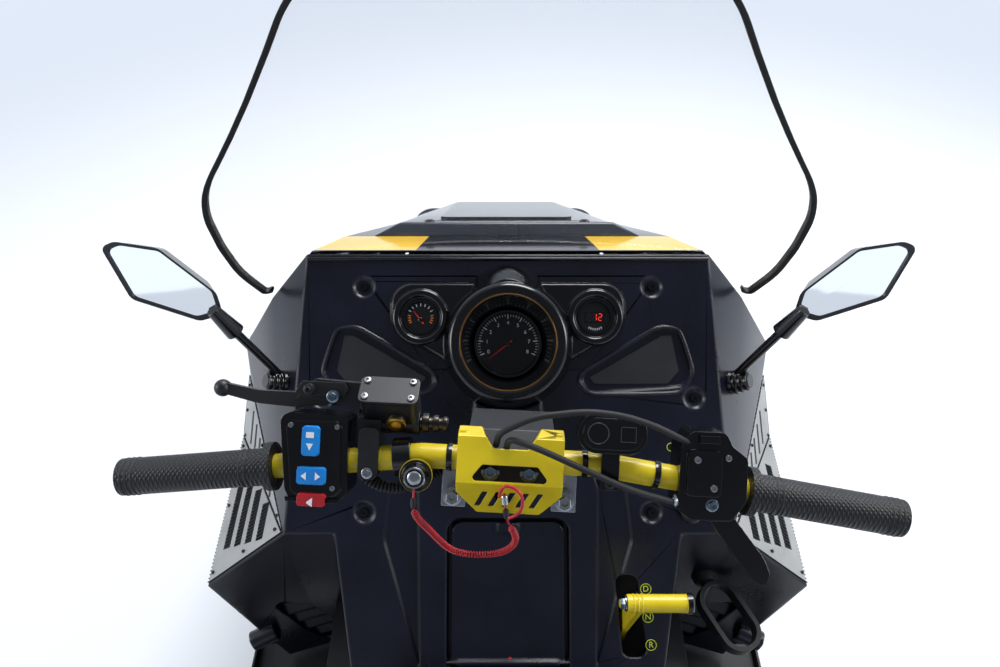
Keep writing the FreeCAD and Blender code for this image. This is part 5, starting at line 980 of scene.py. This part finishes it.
# %% Details of the brake
LID_SCREWS = [(-131, 195), (-90, 195), (-131, 213), (-90, 213)]
brake_bits = [cap_screw("lid_screw", 3.2, steered @ at(*spot, 1166.6), steel) for spot in LID_SCREWS]
sight_frame = steered @ at(-104, 187, 1141) @ lean(90)
brake_bits.append(turned_piece("sight_ring", [(9, 0), (9, 2.2), (7.6, 3), (6.4, 3), (6.4, 1.2)],
                               brass, sight_frame))
brake_bits.append(turned_piece("sight_eye", [(4.6, 0), (4.6, 2.2), (2.4, 3.4), (0.6, 3.7)],
                               amber_glass, sight_frame))
brake_bits += hex_bolt("brake_clamp_bolt", 3.6, on_bar @ at(-126, -16, 14), steel)
brake_bits += hex_bolt("lever_pivot_bolt", 4, on_bar @ at(-160, 50, 12), blue_zinc)
brake_bits += hex_bolt("lock_post_bolt", 3.2, on_bar @ at(-182, 55, 12), powder_black)
LOCK_PLATE = [(-196, 52), (-190, 62), (-152, 62), (-148, 56), (-152, 50), (-186, 48)]
brake_bits.append(plate("lock_plate", LOCK_PLATE, 2.4, powder_black, on_bar @ at(0, 0, 2), edge=0.5))
RIB_STEP = 3.4
CONDUIT_RIB = [(3.4, -1.7), (4.9, -0.8), (4.9, 0.8), (3.4, 1.7)]
CONDUITS = [
    [(-141, -10, -4), (-131, -24, -2), (-112, -32, -2), (-90, -30, -4), (-70, -20, -8), (-58, -10, -12)],
    [(-134, -14, -12), (-122, -30, -12), (-100, -36, -14), (-80, -24, -16), (-66, -10, -18)]]
for route in CONDUITS:
    run = spread(route_line([on_bar @ (Vector(point) * MM) for point in route]), RIB_STEP * MM)
    for before, spot, after in zip(run, run[1:], run[2:]):
        aim = Matrix.Translation(spot) @ (after - before).to_track_quat("Z", "Y").to_matrix().to_4x4()
        brake_bits.append(turned_piece("conduit_rib", CONDUIT_RIB, handle_rubber, aim, sides=16))
joined("brake_details", brake_bits, "steering")

# %% [markdown]
# The stop switch ends in a plated disc with a yellow band under it. Bolts hold
# the yellow cover to the riser, whose ears below it are bare zinc.

# %% Stop switch and riser bolts
tether_frame = on_bar @ at(-82, -15)
tether = [turned_piece("tether_disc", [(6, 29.5), (6, 31), (5, 31.8), (2.5, 32)], steel, tether_frame,
                       sides=32),
          ring_piece("tether_band", [(13.6, 17), (14.6, 17), (14.6, 18.5), (13.6, 18.5)], powder_yellow,
                     tether_frame, 44),
          ring_piece("tether_rim", round_section(8.4, 30.2, 1.0, 6), steel, tether_frame, 36)]
joined("tether_details", tether, "steering")

cover_bits = []
for side in (-1, 1):
    cover_bits += hex_bolt("riser_bolt", 6, on_bar @ at(side * 17, -8, 18), blue_zinc)
    cover_bits += hex_bolt("ear_bolt", 6.2, on_bar @ at(side * 50, -34, 6), steel)
joined("riser_bolts", cover_bits, "steering")
paint(made_of["steering_column"], steel,
      lambda x, y, z: 38 < abs(x) < 62 and -50 < y < -10 and z > -19, on_bar)

# %% [markdown]
# The round pod beside the riser carries two engraved outlines and a clamp bolt.
# The throttle's housing is held by screws, its lever by a bolt, and the cable
# enters it through a nut.

# %% Details of the pod and the throttle
pod_face = on_bar @ at(0, 0, 26)
groove = round_section(9, 0, 0.5, 6)
engraved = [ring_piece("pod_circle", groove, satin_cover, pod_face @ at(75, 31), 44),
            ring_piece("pod_square", groove, satin_cover, pod_face @ at(101, 31) @ lean(45, "Z"), 4)]
engraved += hex_bolt("pod_clamp_bolt", 3.4, on_bar @ at(88, -14, 16), powder_black)
joined("pod_details", engraved, "steering")

throttle_bits = [cap_screw("throttle_screw", 3.2, on_bar @ at(*spot), steel)
                 for spot in ((162, 12, 22), (177, -12, 22), (190, 14, 16))]
throttle_bits.append(plate("throttle_clip", [(164, 26), (182, 26), (182, 33), (164, 33)], 4, gloss_abs,
                           on_bar @ at(0, 0, 16), edge=0.8))
throttle_bits += hex_bolt("thumb_bolt", 4.2, on_bar @ at(178, -28, 15), blue_zinc)
throttle_bits.append(ring_piece("cable_nut", round_section(4.2, 0, 1.6, 6), steel,
                                on_bar @ at(146, -26, 14) @ lean(90, "Y"), 20))
joined("throttle_details", throttle_bits, "steering")

# %% [markdown]
# The lanyard's cord leaves the switch through a short sleeve, and at its other
# end a crimp joins it to a red ribbon loop that hangs from the cover's opening.

# %% Sleeves and loop of the lanyard
LOOK_AHEAD = 4


def along_lanyard(number):
    """A frame on the lanyard's line, its Z along the cord."""
    ahead = lanyard_line[min(number + LOOK_AHEAD, last)] - lanyard_line[number - LOOK_AHEAD]
    return Matrix.Translation(lanyard_line[number]) @ ahead.to_track_quat("Z", "Y").to_matrix().to_4x4()


STEPS_IN_MM = TURN_POINTS / COIL_PITCH
sleeves = [turned_piece("switch_sleeve", [(1.4, 0), (2.4, 1), (2.4, 12), (1.3, 15)], handle_rubber,
                        along_lanyard(int(14 * STEPS_IN_MM)), sides=20),
           turned_piece("loop_sleeve", [(1.4, 0), (2.6, 1), (2.6, 12), (1.3, 14)], handle_rubber,
                        along_lanyard(last - int(30 * STEPS_IN_MM)), sides=20),
           turned_piece("loop_crimp", [(2.2, 0), (3.0, 0.6), (3.0, 9), (2.2, 10)], steel,
                        along_lanyard(last - int(12 * STEPS_IN_MM)), sides=20)]
joined("lanyard_sleeves", sleeves, "steering")
RIBBON = [(-8, -27, 31), (-7, -17, 37), (2, -15, 40), (11, -22, 39), (13, -32, 36), (9, -42, 31),
          (1, -46, 27)]
ribbon = tube_curve("ribbon_loop", [on_bar @ (Vector(point) * MM) for point in RIBBON], 1.5 * MM,
                    lanyard_red)
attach(ribbon, "steering")

# %% [markdown]
# The seat is foam under vinyl. The construction gives its block; here the
# block is remeshed evenly and filled like a cushion by a short cloth
# simulation with pressure and no gravity, with its underside held where it
# rests. How far a point may swell is limited, so that the pad keeps its size.
# The sewn channels are pressed in afterwards, because a remesh would erase them.

# %% Padded pieces
PRESSURE, FRAMES = 4, 20
CHANNEL_DEEP, CHANNEL_HALF = 5.0, 6.0


def padded(label, voxel, swell, resting, channels, shrink=5.0):
    """A swollen, sewn copy of a soft piece of the construction, in millimetres."""
    made = merged_copy(label, label + "_sewn", False)
    even = made.modifiers.new("even_mesh", "REMESH")
    even.mode = "VOXEL"
    even.voxel_size = voxel * MM
    bpy.ops.object.modifier_apply(modifier=even.name)
    for vertex in made.data.vertices:
        if not resting(*(vertex.co / MM)):
            vertex.co -= vertex.normal * shrink * MM
    start = [vertex.co.copy() for vertex in made.data.vertices]
    held = made.vertex_groups.new(name="held")
    held.add([vertex.index for vertex in made.data.vertices if resting(*(vertex.co / MM))],
             1.0, "REPLACE")
    filling = made.modifiers.new("filling", "CLOTH")
    filling.settings.vertex_group_mass = "held"
    filling.settings.use_pressure = True
    filling.settings.uniform_pressure_force = PRESSURE
    filling.settings.effector_weights.gravity = 0
    filling.collision_settings.use_collision = False
    filling.collision_settings.use_self_collision = False
    for step_number in range(1, FRAMES + 1):
        bpy.context.scene.frame_set(step_number)
    bpy.ops.object.modifier_apply(modifier=filling.name)
    bpy.context.scene.frame_set(1)
    for vertex, before in zip(made.data.vertices, start):
        moved = vertex.co - before
        if moved.length > swell * MM:
            vertex.co = before + moved.normalized() * swell * MM
    finer = made.modifiers.new("finer", "SUBSURF")
    finer.levels = finer.render_levels = 1
    bpy.ops.object.modifier_apply(modifier=finer.name)
    pressed = [0.0] * len(made.data.vertices)
    for vertex in made.data.vertices:
        spot = vertex.co / MM
        if not resting(*spot):
            near = min(channel(*spot) for channel in channels)
            pressed[vertex.index] = CHANNEL_DEEP * math.exp(-(near / CHANNEL_HALF) ** 2)
    normals = [vertex.normal.copy() for vertex in made.data.vertices]
    for vertex, depth in zip(made.data.vertices, pressed):
        vertex.co -= normals[vertex.index] * depth * MM
    only(made)
    bpy.ops.object.shade_smooth()
    made.data.materials.clear()
    made.data.materials.append(seat_vinyl)
    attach(made, body_of(nodes[label])[0])
    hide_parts(label)
    print(made.name, len(made.data.polygons), "faces")
    return made


# %% [markdown]
# The seat's top is sewn in cross channels, and a seam runs along its sides a
# little above its foot. The backrest has a seam that follows its border.

# %% Seat and backrest
seat_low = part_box("seat_cushion")[0][2] / MM
CROSS_CHANNELS = (40, -70, -180, -290, -400, -560, -690, -810)
TOP_HALF, SEAM_HALF, SEAM_UP, FAR_AWAY = 150, 100, 60, 99.0


def cross_channel(x, y, z):
    """How far a point lies from the nearest cross channel on the top."""
    return min(abs(y - place) for place in CROSS_CHANNELS) if abs(x) < TOP_HALF else FAR_AWAY


def side_seam(x, y, z):
    """How far a point lies from the seam round the sides."""
    return abs(z - (seat_low + SEAM_UP)) if abs(x) > SEAM_HALF else FAR_AWAY


padded("seat_cushion", 8, 12, lambda x, y, z: z < seat_low + 8, (cross_channel, side_seam))
rest_low, rest_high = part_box("backrest")
rest_middle = (rest_low + rest_high) / 2 / MM
rest_half = (rest_high - rest_low) / 2 / MM
BORDER = 28


def border_seam(x, y, z):
    """How far a point lies from a rectangle a little inside the backrest's edge."""
    return min(abs(abs(x - rest_middle.x) - (rest_half.x - BORDER)),
               abs(abs(z - rest_middle.z) - (rest_half.z - BORDER)))


padded("backrest", 6, 10, lambda x, y, z: y < rest_low[1] / MM + 5, (border_seam,), 3.0)

# %% [markdown]
# The grilles on the cowl's cheeks are slotted sheets over a dark ribbed mesh.
# The ribs are thin bars on the cheek, which show only through the slots. One
# bar a metre long is made, and each copy is shortened to fit between two edges
# of its triangle. Small black screws hold the sheets along their edges, at
# places given as shares of the triangle's three corners.

# %% Mesh and screws of the side grilles
CHEEK = {"low_inner": (311, 297, 741), "low_outer": (432, 261, 653), "middle": (436, 520, 665),
         "high": (430, 600, 725)}
GRILLE_FACES = [("low_inner", "low_outer", "middle", 46), ("low_inner", "middle", "high", 34)]
SCREW_SHARES = [(0.88, 0.06, 0.06), (0.06, 0.88, 0.06), (0.06, 0.06, 0.88), (0.47, 0.47, 0.06),
                (0.06, 0.47, 0.47), (0.47, 0.06, 0.47)]
RIB_OUT, SCREW_OUT = 0.3, 2.2
rib = plate("grille_rib", [(0, -0.7), (1000, -0.7), (1000, 0.7), (0, 0.7)], 1.3, powder_black,
            Matrix.Identity(4))
ribs, grille_screws = [], []
for side in (-1, 1):
    for first, second, third, count in GRILLE_FACES:
        corners = [Vector((side * x, y, z)) * MM for x, y, z in (CHEEK[first], CHEEK[second], CHEEK[third])]
        outward = (corners[1] - corners[0]).cross(corners[2] - corners[0]).normalized() * side
        for number in range(1, count):
            share = number / count
            start = corners[0].lerp(corners[2], share)
            end = corners[1].lerp(corners[2], share)
            along = (end - start).normalized()
            turn = Matrix((along, outward.cross(along), outward)).transposed().to_4x4()
            stretch = Matrix.Diagonal(((end - start).length, 1, 1, 1))
            seat = Matrix.Translation(start + outward * RIB_OUT * MM)
            ribs.append(again(rib, "grille_rib", seat @ turn @ stretch))
        for shares in SCREW_SHARES:
            spot = sum((corner * share for corner, share in zip(corners, shares)), Vector())
            turn = outward.to_track_quat("Z", "Y").to_matrix().to_4x4()
            seat = Matrix.Translation(spot + outward * SCREW_OUT * MM) @ turn
            grille_screws.append(cap_screw("grille_screw", 2.6, seat, powder_black))
bpy.data.objects.remove(rib)
joined("grille_mesh", ribs, "root")
joined("grille_screws", grille_screws, "root")

# %% [markdown]
# Sheet metal on a machine like this is riveted. A row of round heads runs along
# each side of the tunnel, near its top. One head is turned and the rest are
# copies of it.

# %% Rivets of the tunnel
tunnel_half, tunnel_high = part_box("tunnel")[1][0] / MM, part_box("tunnel")[1][2] / MM
FIRST_RIVET, RIVET_STEP, BELOW_TOP = 300, 95, 16
rivet = turned_piece("rivet", [(5, 0), (5, 0.6), (4.2, 1.8), (2.4, 2.6), (0.8, 2.9)], steel,
                     Matrix.Identity(4), 16)
rivets = []
for side in (-1, 1):
    for number in range(17):
        spot = at(side * tunnel_half, FIRST_RIVET - RIVET_STEP * number, tunnel_high - BELOW_TOP)
        rivets.append(again(rivet, "tunnel_rivet", spot @ lean(side * 90, "Y")))
print(len(rivets), "rivets at", round(tunnel_half), "mm each side")
bpy.data.objects.remove(rivet)
joined("tunnel_rivets", rivets, "root")

# %% [markdown]
# The machine stands in a plain studio. The floor is pale, and further off it
# fades into the colour of the sky, as a paper sweep does. Only the camera sees
# that, so no more light falls on the machine.

# %% Floor
BACKDROP = linear("e2ebfa")
FADES_FROM, FADES_TO = 1.6, 4.5
bpy.ops.object.select_all(action="DESELECT")
bpy.ops.mesh.primitive_plane_add(size=60, location=(0, 0, 0))
floor = bpy.context.object
floor.name = "studio_floor"
floor_finish, tree, shader = new_finish("studio_floor_paint")
shader.inputs["Base Color"].default_value = linear("eef1f5")
shader.inputs["Roughness"].default_value = 0.9
distance = add_node(tree, "ShaderNodeVectorMath", {"operation": "LENGTH"}, {
    0: add_node(tree, "ShaderNodeTexCoord").outputs["Object"]})
far_off = add_node(tree, "ShaderNodeMapRange", {"interpolation_type": "SMOOTHSTEP"}, {
    "Value": distance.outputs["Value"], "From Min": FADES_FROM, "From Max": FADES_TO})
seen_directly = add_node(tree, "ShaderNodeLightPath").outputs["Is Camera Ray"]
share = add_node(tree, "ShaderNodeMath", {"operation": "MULTIPLY"}, {
    0: far_off.outputs["Result"], 1: seen_directly})
backdrop = add_node(tree, "ShaderNodeEmission", None, {"Color": BACKDROP, "Strength": 1.0})
faded = add_node(tree, "ShaderNodeMixShader", None, {
    0: share.outputs["Value"], 1: shader.outputs["BSDF"], 2: backdrop.outputs["Emission"]})
paper = next(item for item in tree.nodes if item.type == "OUTPUT_MATERIAL")
tree.links.new(faded.outputs["Shader"], paper.inputs["Surface"])
floor.data.materials.append(floor_finish)

# %% [markdown]
# The sky is bright ahead of the nose and low down, and dim behind the rider, as
# it is where the rider's own body shades the dash. To the camera it is one
# even colour.

# %% Sky
DIM, BRIGHT = 0.16, 0.95
world = bpy.data.worlds.new("studio_sky")
bpy.context.scene.world = world
world.use_nodes = True
tree = world.node_tree
sky = tree.nodes["Background"]
heading = add_node(tree, "ShaderNodeSeparateXYZ", None, {
    "Vector": add_node(tree, "ShaderNodeTexCoord").outputs["Generated"]})
ahead = add_node(tree, "ShaderNodeMapRange", None, {
    "Value": heading.outputs["Y"], "From Min": -0.3, "From Max": 0.6, "To Min": 0.0, "To Max": 1.0})
low_down = add_node(tree, "ShaderNodeMapRange", None, {
    "Value": heading.outputs["Z"], "From Min": 0.1, "From Max": 0.5, "To Min": 1.0, "To Max": 0.0})
open_sky = add_node(tree, "ShaderNodeMath", {"operation": "MAXIMUM"}, {
    0: ahead.outputs["Result"], 1: low_down.outputs["Result"]})
brightness = add_node(tree, "ShaderNodeMapRange", None, {
    "Value": open_sky.outputs["Value"], "To Min": DIM, "To Max": BRIGHT})
seen = add_node(tree, "ShaderNodeLightPath").outputs["Is Camera Ray"]
shown = add_node(tree, "ShaderNodeMix", {"data_type": "FLOAT"}, {
    "Factor": seen, "A": brightness.outputs["Result"], "B": 1.0})
sky.inputs["Color"].default_value = BACKDROP
tree.links.new(shown.outputs["Result"], sky.inputs["Strength"])

# %% [markdown]
# Three large square lamps light the machine softly: one ahead and above, and
# one on each side. Their power is set so that a colour renders about as it is
# written.

# %% Lamps


def soft_lamp(name, where, aim, size, watts):
    """A square soft box at one place, aimed at another."""
    data = bpy.data.lights.new(name, "AREA")
    data.size = size
    data.energy = watts
    lamp = bpy.data.objects.new(name, data)
    lamp.location = where
    lamp.rotation_euler = (Vector(aim) - Vector(where)).to_track_quat("-Z", "Y").to_euler()
    bpy.context.scene.collection.objects.link(lamp)


soft_lamp("overhead", (0.6, 2.4, 3.6), (0, 0.3, 0.8), 1.6, 130)
soft_lamp("left_side", (-3.5, -0.2, 2.5), (0, 0.3, 0.7), 1.8, 60)
soft_lamp("right_side", (3.5, 0.3, 2.8), (0, 0.3, 0.7), 1.8, 80)
bpy.context.scene.view_settings.view_transform = "Standard"
